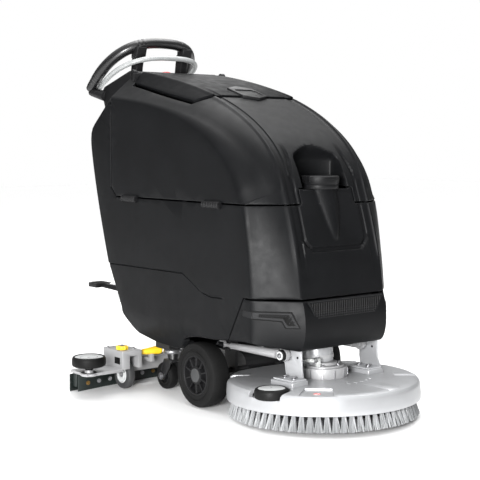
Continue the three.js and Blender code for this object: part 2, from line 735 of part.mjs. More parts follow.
function buildDeck() {
  place('deck_cover', deckCover(), SILVER_PAINT, deck);
  place('deck_bracket_right', deckBracketRight(), SILVER_PAINT, deck);
  place('deck_bracket_left', deckBracketLeft(), SILVER_PAINT, deck);
  placePair('deck_arm', deckArm(), CAST_SILVER);
  const base = DECK_TOP + GAP;
  place('gearmotor', join(
    post(GEAR_X, 0, base, 129, 66, 66, 12),
    post(GEAR_X, 0, 128, 141, 39, 36, 24),
    post(MOTOR_X, 0, base, 205, 43, 43, 24),
    post(0, 0, 94, base + 1, 12),
  ), CAST_SILVER, deck);
  place('water_fitting', join(
    bar([28, -62, 152], [28, -36, 152], 7),
    bar([28, -60, 152], [-6, -70, 152], 6),
    post(28, -42, 129.4, 156, 8),
  ), CLEAR, deck);
  const [rollerX, rollerY] = DECK_ROLLER;
  place('deck_roller', cut(
    post(rollerX, rollerY, 78, 106, 45, 45, 28),
    post(rollerX, rollerY, 70, 86, 9.6, 9.6, 14),
  ), BLACK_RUBBER, deck);
  place('brush_disc', join(
    post(0, 0, 40.4, 62, 246, 246, 32),
    post(0, 0, 61, 86, 60, 36, 16),
  ), BLACK_PLASTIC, deck);
  place('brush_bristles', turned([
    [110, 40], [105, 0], [BRUSH_RADIUS, 0], [250, 40], [110, 40],
  ], 40), BRISTLE, deck);
}

buildBody();
buildInside();
buildHandle();
buildChassis();
buildSqueegee();
buildLiftPedal();
buildDeck();

export default machine;
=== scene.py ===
"""Walk-behind floor scrubber dryer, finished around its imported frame."""

import itertools
import json
import math
import random

import bmesh
import bpy
from bpy.props import FloatProperty, IntProperty, PointerProperty
from mathutils import Matrix, Vector


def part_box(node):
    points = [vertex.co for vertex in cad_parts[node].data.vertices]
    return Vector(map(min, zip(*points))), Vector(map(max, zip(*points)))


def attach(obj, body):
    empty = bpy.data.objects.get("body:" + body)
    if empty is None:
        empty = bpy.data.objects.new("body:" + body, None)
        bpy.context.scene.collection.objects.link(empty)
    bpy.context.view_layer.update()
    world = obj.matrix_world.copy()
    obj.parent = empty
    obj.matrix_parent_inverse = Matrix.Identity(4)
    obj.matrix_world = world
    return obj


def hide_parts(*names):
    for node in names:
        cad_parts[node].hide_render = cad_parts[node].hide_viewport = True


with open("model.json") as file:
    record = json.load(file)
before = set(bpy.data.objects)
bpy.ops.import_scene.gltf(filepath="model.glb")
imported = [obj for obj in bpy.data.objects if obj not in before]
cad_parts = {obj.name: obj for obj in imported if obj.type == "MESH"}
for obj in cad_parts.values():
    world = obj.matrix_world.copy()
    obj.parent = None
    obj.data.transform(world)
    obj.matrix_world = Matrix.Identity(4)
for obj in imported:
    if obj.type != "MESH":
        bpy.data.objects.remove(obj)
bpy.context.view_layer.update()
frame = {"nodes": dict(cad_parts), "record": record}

bl_info = {
    "name": "Floor Scrubber Dryer",
    "version": (1, 0, 0),
    "blender": (4, 5, 0),
    "location": "View3D > Sidebar > Scrubber",
    "description": "Builds the body, deck, wheels, squeegee and handle of a floor scrubber dryer",
    "category": "Object",
}

# Shapes are made in millimetres with x counted from the brush spindle.
WHEEL_TO_SPINDLE = 0.272
TYRE_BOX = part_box("main_tyre_right")
SPINDLE_X = (TYRE_BOX[0].x + TYRE_BOX[1].x) / 2 + WHEEL_TO_SPINDLE
TO_FRAME = Matrix.Translation((SPINDLE_X, 0, 0)) @ Matrix.Scale(0.001, 4)
SIDES = {"right": -1, "left": 1}
SLOT_OF = {row["node"]: row["material_slot"] for row in frame["record"]["subparts"]}


def limits(node):
    """The lowest and highest corner of a frame node in millimetres from the spindle."""
    low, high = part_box(node)
    back = TO_FRAME.inverted()
    return back @ low, back @ high


def middle_of(node):
    """The middle of a frame node's box in millimetres from the spindle."""
    low, high = limits(node)
    return (low + high) / 2


# ------------------------------------------------------------------ shapes


def block(low, high, rounding=0.0, steps=2):
    """A box between two corners with rounded edges."""
    bm = bmesh.new()
    size = [b - a for a, b in zip(low, high)]
    centre = [(a + b) / 2 for a, b in zip(low, high)]
    place = Matrix.Translation(centre) @ Matrix.Diagonal((*size, 1))
    bmesh.ops.create_cube(bm, size=1, matrix=place)
    return soften(bm, rounding, steps)


def rod(start, end, radius, tip=None, sides=24, rounding=0.0):
    """A straight round bar, or a cone where the tip radius differs."""
    bm = bmesh.new()
    start, end = Vector(start), Vector(end)
    along = end - start
    turn = along.to_track_quat("Z", "Y").to_matrix().to_4x4()
    bmesh.ops.create_cone(
        bm,
        cap_ends=True,
        segments=sides,
        radius1=radius,
        radius2=radius if tip is None else tip,
        depth=along.length,
        matrix=Matrix.Translation((start + end) / 2) @ turn,
    )
    return soften(bm, rounding, 2, 60)


def prism(outline, low, high, axis="Y", rounding=0.0, steps=2):
    """An outline of pairs drawn out along an axis between two heights."""
    put = {
        "X": lambda a, b, h: (h, a, b),
        "Y": lambda a, b, h: (a, h, b),
        "Z": lambda a, b, h: (a, b, h),
    }[axis]
    bm = bmesh.new()
    face = bm.faces.new([bm.verts.new(put(a, b, low)) for a, b in outline])
    drawn = bmesh.ops.extrude_face_region(bm, geom=[face])["geom"]
    moved = [v for v in drawn if isinstance(v, bmesh.types.BMVert)]
    bmesh.ops.translate(bm, verts=moved, vec=put(0, 0, high - low))
    bmesh.ops.recalc_face_normals(bm, faces=bm.faces)
    return soften(bm, rounding, steps)


def turned(profile, centre, axis, steps=40):
    """A profile of (distance along the axis, radius) pairs turned round the axis."""
    bm = bmesh.new()
    axis = Vector(axis).normalized()
    side = axis.orthogonal().normalized()
    centre = Vector(centre)
    verts = [bm.verts.new(centre + axis * a + side * r) for a, r in profile]
    pairs = list(zip(verts, verts[1:]))
    if profile[0][1] > 0 or profile[-1][1] > 0:
        pairs.append((verts[-1], verts[0]))
    edges = [bm.edges.new(pair) for pair in pairs]
    bmesh.ops.spin(
        bm,
        geom=verts + edges,
        cent=centre,
        axis=axis,
        angle=2 * math.pi,
        steps=steps,
        use_merge=True,
    )
    bmesh.ops.remove_doubles(bm, verts=bm.verts, dist=0.01)
    return bm


def swept(path, radius, sides=14, closed_ends=True):
    """A round tube through a list of points, with one radius or one for each point."""
    bm = bmesh.new()
    radii = radius if isinstance(radius, (list, tuple)) else [radius] * len(path)
    path = [Vector(p) for p in path]
    up = Vector((0, 0, 1))
    rings = []
    for i, point in enumerate(path):
        along = (path[min(i + 1, len(path) - 1)] - path[max(i - 1, 0)]).normalized()
        across = along.cross(up)
        across = across.normalized() if across.length > 0.05 else Vector((0, 1, 0))
        up = across.cross(along).normalized()
        turn = Matrix((across, up, along)).transposed().to_4x4()
        place = Matrix.Translation(point) @ turn
        ring = bmesh.ops.create_circle(bm, segments=sides, radius=radii[i], matrix=place)
        rings.append({e for v in ring["verts"] for e in v.link_edges})
    for near, far in zip(rings, rings[1:]):
        bmesh.ops.bridge_loops(bm, edges=list(near | far))
    if closed_ends:
        bmesh.ops.holes_fill(bm, edges=[e for e in bm.edges if e.is_boundary], sides=sides)
    return bm


def ball(centre, radius, scale=(1, 1, 1), detail=2):
    """A round or stretched ball."""
    bm = bmesh.new()
    place = Matrix.Translation(centre) @ Matrix.Diagonal((*scale, 1))
    bmesh.ops.create_icosphere(bm, subdivisions=detail, radius=radius, matrix=place)
    return bm


def soften(bm, width, steps=2, angle=35):
    """Rounds every edge of a shape that is sharper than the angle."""
    if width <= 0:
        return bm
    sharp = [e for e in bm.edges if len(e.link_faces) == 2]
    sharp = [e for e in sharp if e.calc_face_angle(0) > math.radians(angle)]
    bmesh.ops.bevel(
        bm,
        geom=sharp,
        offset=width,
        offset_type="OFFSET",
        segments=steps,
        profile=0.5,
        affect="EDGES",
        clamp_overlap=True,
        material=-1,
    )
    return bm


def merged(*shapes):
    """Several shapes in one."""
    whole = bmesh.new()
    for shape in shapes:
        bmesh.ops.recalc_face_normals(shape, faces=shape.faces)
        scratch = bpy.data.meshes.new("scratch")
        shape.to_mesh(scratch)
        whole.from_mesh(scratch)
        bpy.data.meshes.remove(scratch)
        shape.free()
    return whole


def placed(shape, matrix):
    """The shape after a turn or a move."""
    shape.transform(matrix)
    return shape


def about(angle, offset=(0, 0, 0)):
    """A move by an offset, then a turn about the spindle in degrees."""
    return Matrix.Rotation(math.radians(angle), 4, "Z") @ Matrix.Translation(offset)


def cut_by(shape, *cutters):
    """The shape with other closed shapes taken out of it."""
    return combined(shape, "DIFFERENCE", *cutters)


def combined(shape, how, *cutters):
    """The shape joined with, cut by or kept inside other closed shapes."""
    base = scratch_object(shape)
    for cutter in cutters:
        tool = scratch_object(cutter)
        change = base.modifiers.new("cut", "BOOLEAN")
        change.operation = how
        change.solver = "EXACT"
        change.object = tool
    graph = bpy.context.evaluated_depsgraph_get()
    graph.update()
    result = bmesh.new()
    result.from_mesh(base.evaluated_get(graph).to_mesh())
    tools = [m.object for m in base.modifiers]
    for spent in [base, *tools]:
        bpy.data.meshes.remove(spent.data)
    bmesh.ops.dissolve_degenerate(result, edges=result.edges, dist=0.01)
    return result


def scratch_object(shape):
    """A short-lived object that holds a shape for a modifier to read."""
    bmesh.ops.recalc_face_normals(shape, faces=shape.faces)
    mesh = bpy.data.meshes.new("scratch")
    shape.to_mesh(mesh)
    shape.free()
    thing = bpy.data.objects.new("scratch", mesh)
    bpy.context.scene.collection.objects.link(thing)
    return thing


def copy_of(node, rounding=0.0, angle=30, steps=2):
    """A frame node's shape, merged and with its sharp edges rounded."""
    bm = bmesh.new()
    bm.from_mesh(frame["nodes"][node].data)
    bmesh.ops.remove_doubles(bm, verts=bm.verts, dist=0.00002)
    bm.transform(TO_FRAME.inverted())
    bmesh.ops.dissolve_limit(
        bm, angle_limit=math.radians(1), verts=bm.verts, edges=bm.edges
    )
    return soften(bm, rounding, steps, angle)


def piece(name, body, parts, replaces=(), sharp=35, facing=True):
    """Joins (finish, shape) pairs into one finished object that rides on a body."""
    whole = bmesh.new()
    finishes = []
    for finish, shape in parts:
        if finish not in finishes:
            finishes.append(finish)
        if facing:
            bmesh.ops.recalc_face_normals(shape, faces=shape.faces)
        for face in shape.faces:
            face.material_index = finishes.index(finish)
            face.smooth = True
        scratch = bpy.data.meshes.new("scratch")
        shape.to_mesh(scratch)
        whole.from_mesh(scratch)
        bpy.data.meshes.remove(scratch)
        shape.free()
    whole.transform(TO_FRAME)
    mesh = bpy.data.meshes.new(name)
    whole.to_mesh(mesh)
    whole.free()
    mesh.set_sharp_from_angle(angle=math.radians(sharp))
    for finish in finishes:
        mesh.materials.append(bpy.data.materials[finish])
    made = bpy.data.objects.new(name, mesh)
    bpy.context.scene.collection.objects.link(made)
    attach(made, body)
    if replaces:
        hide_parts(*replaces)
    return made


def bezier(points, count, pull=1.0, end=True):
    """Points on a curve with any number of control points, drawn closer to its end by the pull."""
    found = []
    for i in range(count + (1 if end else 0)):
        t = 1 - (1 - i / count) ** pull
        level = [Vector(p) for p in points]
        while len(level) > 1:
            level = [a.lerp(b, t) for a, b in zip(level, level[1:])]
        found.append(level[0])
    return found


def polyline(points, count):
    """Evenly stepped points along straight pieces, without the last one."""
    points = [Vector(p) for p in points]
    lengths = [(b - a).length for a, b in zip(points, points[1:])]
    found = []
    for i in range(count):
        left = sum(lengths) * i / count
        for a, b, length in zip(points, points[1:], lengths):
            if left <= length:
                found.append(a.lerp(b, left / length))
                break
            left -= length
    return found


# ------------------------------------------------------------------ finishes

# Finishes of the frame's slots: colour, roughness, grain size (1/m), grain depth, shade change, metal.
FINISHES = {
    "anthracite": ((0.0045, 0.0047, 0.0052), 0.42, 1500, 0.10, 0.18, 0.0),
    "black_plastic": ((0.006, 0.006, 0.0065), 0.42, 1800, 0.08, 0.20, 0.0),
    "grip_foam": ((0.004, 0.004, 0.0045), 0.36, 900, 0.12, 0.25, 0.0),
    "lever_grey": ((0.33, 0.34, 0.34), 0.34, 700, 0.03, 0.06, 0.0),
    "deck_silver": ((0.36, 0.365, 0.375), 0.36, 900, 0.10, 0.05, 0.35),
    "cast_silver": ((0.30, 0.30, 0.305), 0.44, 420, 0.22, 0.10, 0.25),
    "steel": ((0.26, 0.26, 0.27), 0.32, 700, 0.04, 0.10, 0.85),
    "black_steel": ((0.008, 0.008, 0.0085), 0.38, 900, 0.12, 0.25, 0.0),
    "tyre": ((0.008, 0.008, 0.008), 0.62, 700, 0.20, 0.30, 0.0),
    "black_rubber": ((0.006, 0.006, 0.006), 0.52, 800, 0.14, 0.25, 0.0),
    "grey_rubber": ((0.035, 0.036, 0.037), 0.55, 700, 0.12, 0.15, 0.0),
    "yellow_plastic": ((0.78, 0.50, 0.02), 0.36, 600, 0.06, 0.10, 0.0),
    "red_plastic": ((0.55, 0.012, 0.010), 0.32, 600, 0.05, 0.08, 0.0),
    "bristle": ((0.20, 0.205, 0.21), 0.50, 1200, 0.10, 0.14, 0.0),
    "blade_rubber": ((0.006, 0.010, 0.009), 0.40, 700, 0.08, 0.25, 0.0),
    "clear_plastic": ((0.80, 0.82, 0.80), 0.18, 500, 0.02, 0.05, 0.0),
    "battery_case": ((0.045, 0.048, 0.052), 0.50, 900, 0.12, 0.15, 0.0),
}
# Finishes that only the pieces made here have.
EXTRA_FINISHES = {
    "lid_skin": ((0.0040, 0.0042, 0.0047), 0.50, 1500, 0.06, 0.08, 0.0),
    # painted_shade_black is painted shade: a flat near-black for sheets that stand in for the shaded
    # insides of the grille, vents and beam openings
    "painted_shade_black": ((0.004, 0.004, 0.004), 0.60, 900, 0.10, 0.20, 0.0),
    "hub_white": ((0.50, 0.51, 0.51), 0.42, 700, 0.05, 0.08, 0.0),
    "brass": ((0.24, 0.15, 0.05), 0.30, 700, 0.05, 0.12, 1.0),
    "button_green": ((0.02, 0.20, 0.05), 0.35, 700, 0.05, 0.08, 0.0),
    "screen_glass": ((0.010, 0.014, 0.018), 0.08, 300, 0.01, 0.10, 0.0),
    "sticker_red": ((0.50, 0.015, 0.012), 0.45, 500, 0.02, 0.06, 0.0),
    "sticker_white": ((0.75, 0.75, 0.75), 0.45, 500, 0.02, 0.04, 0.0),
    "wheel_core": ((0.007, 0.007, 0.0075), 0.48, 700, 0.10, 0.20, 0.0),
}


def made_finish(name, colour, roughness, grain, depth, change, metal):
    """One procedural finish: fine grain, slow shade change, uneven gloss and worn edges."""
    plain = bpy.data.materials.get(name)
    if plain:
        plain.name = name + "_plain"
    finish = bpy.data.materials.new(name)
    finish.use_nodes = True
    nodes, links = finish.node_tree.nodes, finish.node_tree.links
    shader = nodes["Principled BSDF"]
    shader.inputs["Metallic"].default_value = metal
    place = nodes.new("ShaderNodeTexCoord").outputs["Object"]

    def noise(scale, detail):
        node = nodes.new("ShaderNodeTexNoise")
        node.inputs["Scale"].default_value = scale
        node.inputs["Detail"].default_value = detail
        links.new(place, node.inputs["Vector"])
        return node.outputs["Fac"]

    def ramp(source, low, high):
        node = nodes.new("ShaderNodeMapRange")
        node.inputs["From Min"].default_value = 0.3
        node.inputs["From Max"].default_value = 0.7
        node.inputs["To Min"].default_value = low
        node.inputs["To Max"].default_value = high
        links.new(source, node.inputs["Value"])
        return node.outputs["Result"]

    shade = nodes.new("ShaderNodeMix")
    shade.data_type = "RGBA"
    dark = [c * (1 - change) for c in colour]
    light = [min(1, c * (1 + change)) for c in colour]
    shade.inputs["A"].default_value = (*dark, 1)
    shade.inputs["B"].default_value = (*light, 1)
    links.new(ramp(noise(SHADE_SCALE, 5), 0, 1), shade.inputs["Factor"])
    worn = nodes.new("ShaderNodeMix")
    worn.data_type = "RGBA"
    worn.inputs["B"].default_value = (*[min(1, c * 1.5 + 0.01) for c in colour], 1)
    links.new(shade.outputs["Result"], worn.inputs["A"])
    edge = nodes.new("ShaderNodeMapRange")
    edge.inputs["From Min"].default_value = 0.53
    edge.inputs["From Max"].default_value = 0.60
    edge.inputs["To Max"].default_value = 0.55
    links.new(nodes.new("ShaderNodeNewGeometry").outputs["Pointiness"], edge.inputs["Value"])
    links.new(edge.outputs["Result"], worn.inputs["Factor"])
    links.new(worn.outputs["Result"], shader.inputs["Base Color"])
    gloss = ramp(noise(GLOSS_SCALE, 4), roughness * 0.88, min(1, roughness * 1.12))
    links.new(gloss, shader.inputs["Roughness"])
    bump = nodes.new("ShaderNodeBump")
    bump.inputs["Strength"].default_value = min(1, depth * 2.2)
    bump.inputs["Distance"].default_value = 0.0004
    links.new(noise(grain, 3), bump.inputs["Height"])
    links.new(bump.outputs["Normal"], shader.inputs["Normal"])
    return finish


# How much light each dull black finish throws back, as its specular level.
DULL_PLASTICS = {
    "anthracite": 0.10,
    "lid_skin": 0.03,
    "black_plastic": 0.12,
    "tyre": 0.07,
    "black_rubber": 0.12,
    "wheel_core": 0.15,
    # the painted shade sheets throw back almost no light
    "painted_shade_black": 0.02,
}
COATED = {"grip_foam": 0.25, "lever_grey": 0.25}
CLEARNESS = {"clear_plastic": 0.55}
SHADE_SCALE, GLOSS_SCALE = 9, 35


def make_finishes():
    """Every finish, and each frame node painted with the one of its slot."""
    for name, values in {**FINISHES, **EXTRA_FINISHES}.items():
        made_finish(name, *values)
    dials = {
        "Specular IOR Level": DULL_PLASTICS,
        "Coat Weight": COATED,
        "Transmission Weight": CLEARNESS,
    }
    for dial, levels in dials.items():
        for name, level in levels.items():
            shader = bpy.data.materials[name].node_tree.nodes["Principled BSDF"]
            shader.inputs[dial].default_value = level
    for node, thing in frame["nodes"].items():
        mesh = thing.data
        if not mesh.materials:
            mesh.materials.append(None)
        for i in range(len(mesh.materials)):
            mesh.materials[i] = bpy.data.materials[SLOT_OF[node]]


# ------------------------------------------------------------------ body

# The body is a skin lofted between the outline of its flat sides and that of its middle.
SIDE_Y = 243.0
EDGE_Y = 148.0
SKIN_HEART = Vector((-330, 520))
SEAM_Z = 581.0
COLUMN_X, COLUMN_FOOT = -704.0, 609.0
BUMPER_TOP = 335.0
BUMPER_REAR = -128.0
LID_REAR, LID_FRONT = -668.0, -305.0
LID_EDGE_X, LID_EDGE_Z, LID_SLOPE = -325.0, 853.0, 0.204
SHIELD_HALF, SHIELD_TOP = 97.0, 623.0
CREASE_Y, CREASE_LOW = 205.0, 205.0
BAY_REAR, BAY_TURN, BAY_NARROW, BAY_HALF = -332.0, -262.0, 164.0, 236.0
TOP_STEPS, FRONT_STEPS, NOSE_STEPS, UNDER_STEPS, REAR_STEPS = 120, 70, 34, 64, 40
NOSE_END = TOP_STEPS + FRONT_STEPS + NOSE_STEPS
UNDER_END = NOSE_END + UNDER_STEPS
UNDER_CREASE_Z = 221.0


def side_outline():
    """The closed outline of the flat side, as (x, z) pairs."""
    under = [(-13, 219), (-62, 219), (-123, 214), (-177, 207), (-253, 203), (-308, 194)]
    under += [(-339, 181), (-362, 154), (-390, 150), (-484, 154), (-577, 170), (-600, 183)]
    under += [(-651, 226), (-659, 249)]
    return (
        bezier([(-705, 882), (-497, 861), (-94, 820), (-49, 582)], TOP_STEPS, 1.35, False)
        + bezier([(-49, 582), (-24, 482), (-16, 335)], FRONT_STEPS, 1, False)
        + polyline([(-16, 335), (-13, 219)], NOSE_STEPS)
        + polyline(under, UNDER_STEPS)
        + rear_outline((-705, 882), 0)
    )


def middle_outline():
    """The closed outline of the body's middle, as (x, z) pairs."""
    under = [(70, 200), (-225, 198), (-262, 160), (-390, 151), (-560, 171), (-659, 249)]
    return (
        bezier([(-705, 962), (-352, 913), (-56, 823), (4, 622)], TOP_STEPS, 1.35, False)
        + bezier([(4, 622), (62, 470), (78, 337)], FRONT_STEPS, 1, False)
        + bezier([(78, 337), (99, 292), (98, 214), (70, 200)], NOSE_STEPS, 1, False)
        + polyline(under, UNDER_STEPS)
        + rear_outline((-705, 962), 5)
    )


def rear_outline(top, crown):
    """The back of either outline, pushed out by the crown."""
    curve = bezier([(-727, 372), (-800, 590), (-824, 730)], 14)
    curve += bezier([(-824, 730), (-832, 780), (-812, 797)], 4)[1:]
    found = polyline([(-659, 249), *[tuple(p) for p in curve], top], REAR_STEPS)
    last = len(found)
    return [p - Vector((crown * math.sin(math.pi * i / last), 0)) for i, p in enumerate(found)]


def skin_columns():
    """How far across the body each line of the skin lies, and how it blends, from 0 outwards."""
    columns = [("flat", y) for y in range(0, 64, 4)]
    columns += [("flat", y) for y in range(64, 118, 2)]
    columns += [("flat", y) for y in (118.5, 121, 125, 130, 136, 140.5, 143, 145.5)]
    columns += [("slope", w) for w in (0, 0.025, 0.05, 0.08, 0.14, 0.22, 0.32, 0.42, 0.5)]
    columns += [("round", w / 8) for w in range(0, 9)]
    columns += [("side", k) for k in (0.14, 0.19, 0.26, 0.34, 0.44, 0.55, 0.67, 0.8, 1.0)]
    return columns


def ease(low, high, value):
    """A smooth 0 to 1 step between two values."""
    t = max(0.0, min(1.0, (value - low) / (high - low)))
    return t * t * (3 - 2 * t)


def band(value, low, high, soft):
    """1 between two values, falling smoothly to 0 outside them."""
    return ease(low - soft, low, value) * (1 - ease(high, high + soft, value))


def edge_size(i):
    """How far the rounding of the upper edge reaches into the flat side, and where it starts, at a step."""
    if i < TOP_STEPS:
        soft = ease(20, 96, i)
        crisp = ease(TOP_STEPS - 12, TOP_STEPS + 10, i)
        return 0.022 + 0.07 * soft - 0.04 * crisp, 0.92 - 0.42 * soft + 0.36 * crisp
    if i < NOSE_END:
        return 0.052 - 0.028 * ease(TOP_STEPS, TOP_STEPS + 16, i), 0.86
    return 0.024 - 0.010 * ease(NOSE_END, NOSE_END + 6, i), 0.86


def skin_point(side, centre, kind, amount, edge, reach):
    """One point of the skin from its two outline points, before the relief is added."""
    if kind == "flat":
        return Vector((centre.x, amount, centre.y))
    if kind == "slope":
        amount *= reach / 0.5
        p = centre.lerp(side, amount)
        return Vector((p.x, EDGE_Y + (SIDE_Y - EDGE_Y) * amount, p.y))
    if kind == "side":
        p = side.lerp(SKIN_HEART, max(amount, edge + 0.012))
        return Vector((p.x, SIDE_Y, p.y))
    start = centre.lerp(side, reach)
    end = side.lerp(SKIN_HEART, edge)
    curve = [
        Vector((start.x, EDGE_Y + (SIDE_Y - EDGE_Y) * reach, start.y)),
        Vector((side.x, SIDE_Y, side.y)),
        Vector((end.x, SIDE_Y, end.y)),
    ]
    a, b = curve[0].lerp(curve[1], amount), curve[1].lerp(curve[2], amount)
    return a.lerp(b, amount)


def relief(u, y, kind, amount):
    """How far a point of the skin stands out from the plain loft."""
    y = abs(y)
    top = ease(26, 44, u) * (1 - ease(TOP_STEPS + 34, TOP_STEPS + 60, u))
    out = 0.0
    if u < TOP_STEPS + FRONT_STEPS:
        out += 2.6 * top * band(y, 143.5, 151, 3)
        out -= 3.2 * top * band(y, 121, 139, 3)
        if kind == "slope":
            out += 5.0 * math.sin(math.pi * min(1, amount * 2)) * ease(10, 40, u)
    return out


def front_relief(p):
    """How far back a point of the front is set, and the point, moved where it lines the filler recess."""
    y, z = abs(p.y), p.z
    back = 0.0
    if p.x < -130 or z < 420 or z > 770:
        return back, p
    centre = 113 - 14 * ease(640, 730, z) - 26 * ease(500, 458, z) * ease(500, 458, z)
    rail = band(y, centre - 5, centre + 5, 3) * ease(745, 700, z) * ease(452, 466, z)
    foot = band(z, 457, 467, 3) * (1 - ease(86, 96, y))
    back += 6.0 * max(rail, foot)
    inside = ease(114, 108, y) * ease(462, 472, z) * (1 - ease(612, 625, z))
    back += 2.0 * inside
    cone = 42 * math.sqrt(max(0.0, min(1.0, (z - 484) / 136)))
    if z < 622 and y < cone and cone > 1:
        back -= 0.52 * (cone - y * y / cone)
    if z > 619:
        half = 80 - 27 * ease(694, 752, z)
        wall = -90 + 34 * (y / half) ** 2 + 26 * ease(690, 752, z)
        inward = (1 - ease(half - 5, half + 3, y)) * (1 - ease(742, 754, z))
        p.x += (min(p.x, wall) - p.x) * inward
    return back, p


def body_skin():
    """The whole closed skin of the body, with its rails, channel and recess."""
    side, centre = side_outline(), middle_outline()
    columns = skin_columns()
    across = [(-1, c) for c in reversed(columns[1:])] + [(1, c) for c in columns]
    around = len(side)
    bm = bmesh.new()
    steps = {}
    bmesh.ops.create_grid(bm, x_segments=around, y_segments=len(across) - 1, size=1)
    for vert in bm.verts:
        i = round((vert.co.x + 1) / 2 * around)
        hand, (kind, amount) = across[round((vert.co.y + 1) / 2 * (len(across) - 1))]
        before, after = centre[(i - 1) % around], centre[(i + 1) % around]
        along = (after - before).normalized()
        normal = Vector((-along.y, 0, along.x))
        p = skin_point(side[i % around], centre[i % around], kind, amount, *edge_size(i % around))
        p += normal * relief(i, p.y, kind, amount)
        back, p = front_relief(p)
        p -= normal * back
        if p.x < -225 and p.z < UNDER_CREASE_Z and p.y > 190:
            p.y -= (UNDER_CREASE_Z - p.z) * 0.26 * ease(-225, -262, p.x)
        vert.co = Vector((p.x, p.y * hand, p.z))
        steps[vert] = i
    for face in bm.faces:
        c = face.calc_center_median()
        low = all(NOSE_END <= steps[v] <= UNDER_END for v in face.verts)
        bay = c.x > BAY_TURN or (c.x > BAY_REAR and abs(c.y) > BAY_NARROW)
        face.material_index = 1 if low and bay and abs(c.y) < BAY_HALF else 0
    bmesh.ops.remove_doubles(bm, verts=bm.verts, dist=0.05)
    bmesh.ops.recalc_face_normals(bm, faces=bm.faces)
    return bm


def scored(bm, point, normal, keep):
    """New edges where a plane crosses the chosen faces."""
    faces = [f for f in bm.faces if keep(f.calc_center_median())]
    edges = {e for f in faces for e in f.edges}
    verts = {v for f in faces for v in f.verts}
    bmesh.ops.bisect_plane(
        bm,
        geom=[*verts, *edges, *faces],
        dist=0.2,
        plane_co=point,
        plane_no=normal,
    )


CREASE = [(-900, 373), (-328, 379), (-289, 361), (-241, 335), (-195, 326), (-128, 328)]
GROOVE_WIDTH = 5.0
GROOVE_LINES = (-1.2, 0.0, 2.5, 5.0, 6.2)


def crease_height(x):
    """The height of the side crease at a distance along the machine."""
    for (x0, z0), (x1, z1) in zip(CREASE, CREASE[1:]):
        if x0 <= x <= x1:
            return z0 + (z1 - z0) * (x - x0) / (x1 - x0)
    return CREASE[-1][1]


def add_side_step(bm):
    """Sets the lower side panels back below the crease."""
    for (x0, z0), (x1, z1) in zip(CREASE, CREASE[1:]):
        def near(c, x0=x0, x1=x1):
            return abs(c.y) > CREASE_Y and x0 - 1 < c.x < x1 + 1 and 300 < c.z < 420

        scored(bm, (x1, 0, 0), (1, 0, 0), near)
        for drop in GROOVE_LINES:
            scored(bm, (x0, 0, z0 - drop), (z0 - z1, 0, x1 - x0), near)
    for vert in bm.verts:
        p = vert.co
        if abs(p.y) < CREASE_Y or p.x > BUMPER_REAR or p.z < CREASE_LOW:
            continue
        drop = crease_height(p.x) - p.z
        groove = max(0.0, 1 - abs(drop - GROOVE_WIDTH / 2) / (GROOVE_WIDTH / 2))
        back = 3.6 * groove + 1.6 * ease(2, GROOVE_WIDTH, drop)
        back *= ease(BUMPER_REAR, -150, p.x) * ease(CREASE_LOW, 240, p.z)
        p.y -= math.copysign(back, p.y)


def over_lid_edge(c):
    """How far a point lies above the side edge of the lid."""
    return c.z - LID_EDGE_Z + (c.x - LID_EDGE_X) * LID_SLOPE


def region(c):
    """The name of the moulding that a point of the skin belongs to."""
    if c.x < COLUMN_X or (c.x < -676 and c.z < COLUMN_FOOT - (c.x - COLUMN_X)):
        return "solution_tank"
    over = over_lid_edge(c)
    if over > 0 and LID_REAR < c.x < LID_FRONT and over > -650 - c.x and over > (c.x + 340) * 0.7:
        return "tank_lid"
    if abs(c.y) < SHIELD_HALF and 450 < c.z < SHIELD_TOP and c.x > -120:
        return "solution_tank"
    if c.z > SEAM_Z:
        return "recovery_tank"
    if c.z < BUMPER_TOP and c.x > BUMPER_REAR + (c.z - 190) * 79 / 145:
        return "front_bumper"
    return "solution_tank"


ROLL_RADIUS, ROLL_DEPTH = 1.8, 14.0
SEAM_HALF = 3.9
# A point and a normal of each seam's plane, and where the seam may run.
SEAMS = [
    ((COLUMN_X, 0, 0), (1, 0, 0), lambda c: c.z > 560 and c.x < -690),
    ((COLUMN_X, 0, COLUMN_FOOT), (1, 0, 1), lambda c: -716 < c.x < -664 and 556 < c.z < 626),
    ((LID_EDGE_X, 0, LID_EDGE_Z), (LID_SLOPE, 0, 1), lambda c: c.x < -290 and c.z > 700),
    ((LID_REAR, 0, 0), (1, 0, 0), lambda c: c.z > 860 and c.x < -650),
    ((-650, 0, 919.3), (1.204, 0, 1), lambda c: c.x < -636 and c.z > 860),
    ((-340, 0, 856), (0.496, 0, -1), lambda c: -352 < c.x < -284 and c.z > 800),
    ((LID_FRONT, 0, 0), (1, 0, 0), lambda c: c.z > 800 and c.x > -330),
    ((0, SHIELD_HALF, 0), (0, 1, 0), lambda c: c.x > -120 and 560 < c.z < 640),
    ((0, -SHIELD_HALF, 0), (0, 1, 0), lambda c: c.x > -120 and 560 < c.z < 640),
    ((0, 0, SHIELD_TOP), (0, 0, 1), lambda c: c.x > -130 and abs(c.y) < 112 and c.z > 590),
    ((0, 0, SEAM_Z), (0, 0, 1), lambda c: 540 < c.z < 612),
    ((0, 0, BUMPER_TOP), (0, 0, 1), lambda c: c.x > -100 and 300 < c.z < 360),
    ((BUMPER_REAR, 0, 190), (145, 0, -79), lambda c: c.z < 352 and c.x > -160),
]


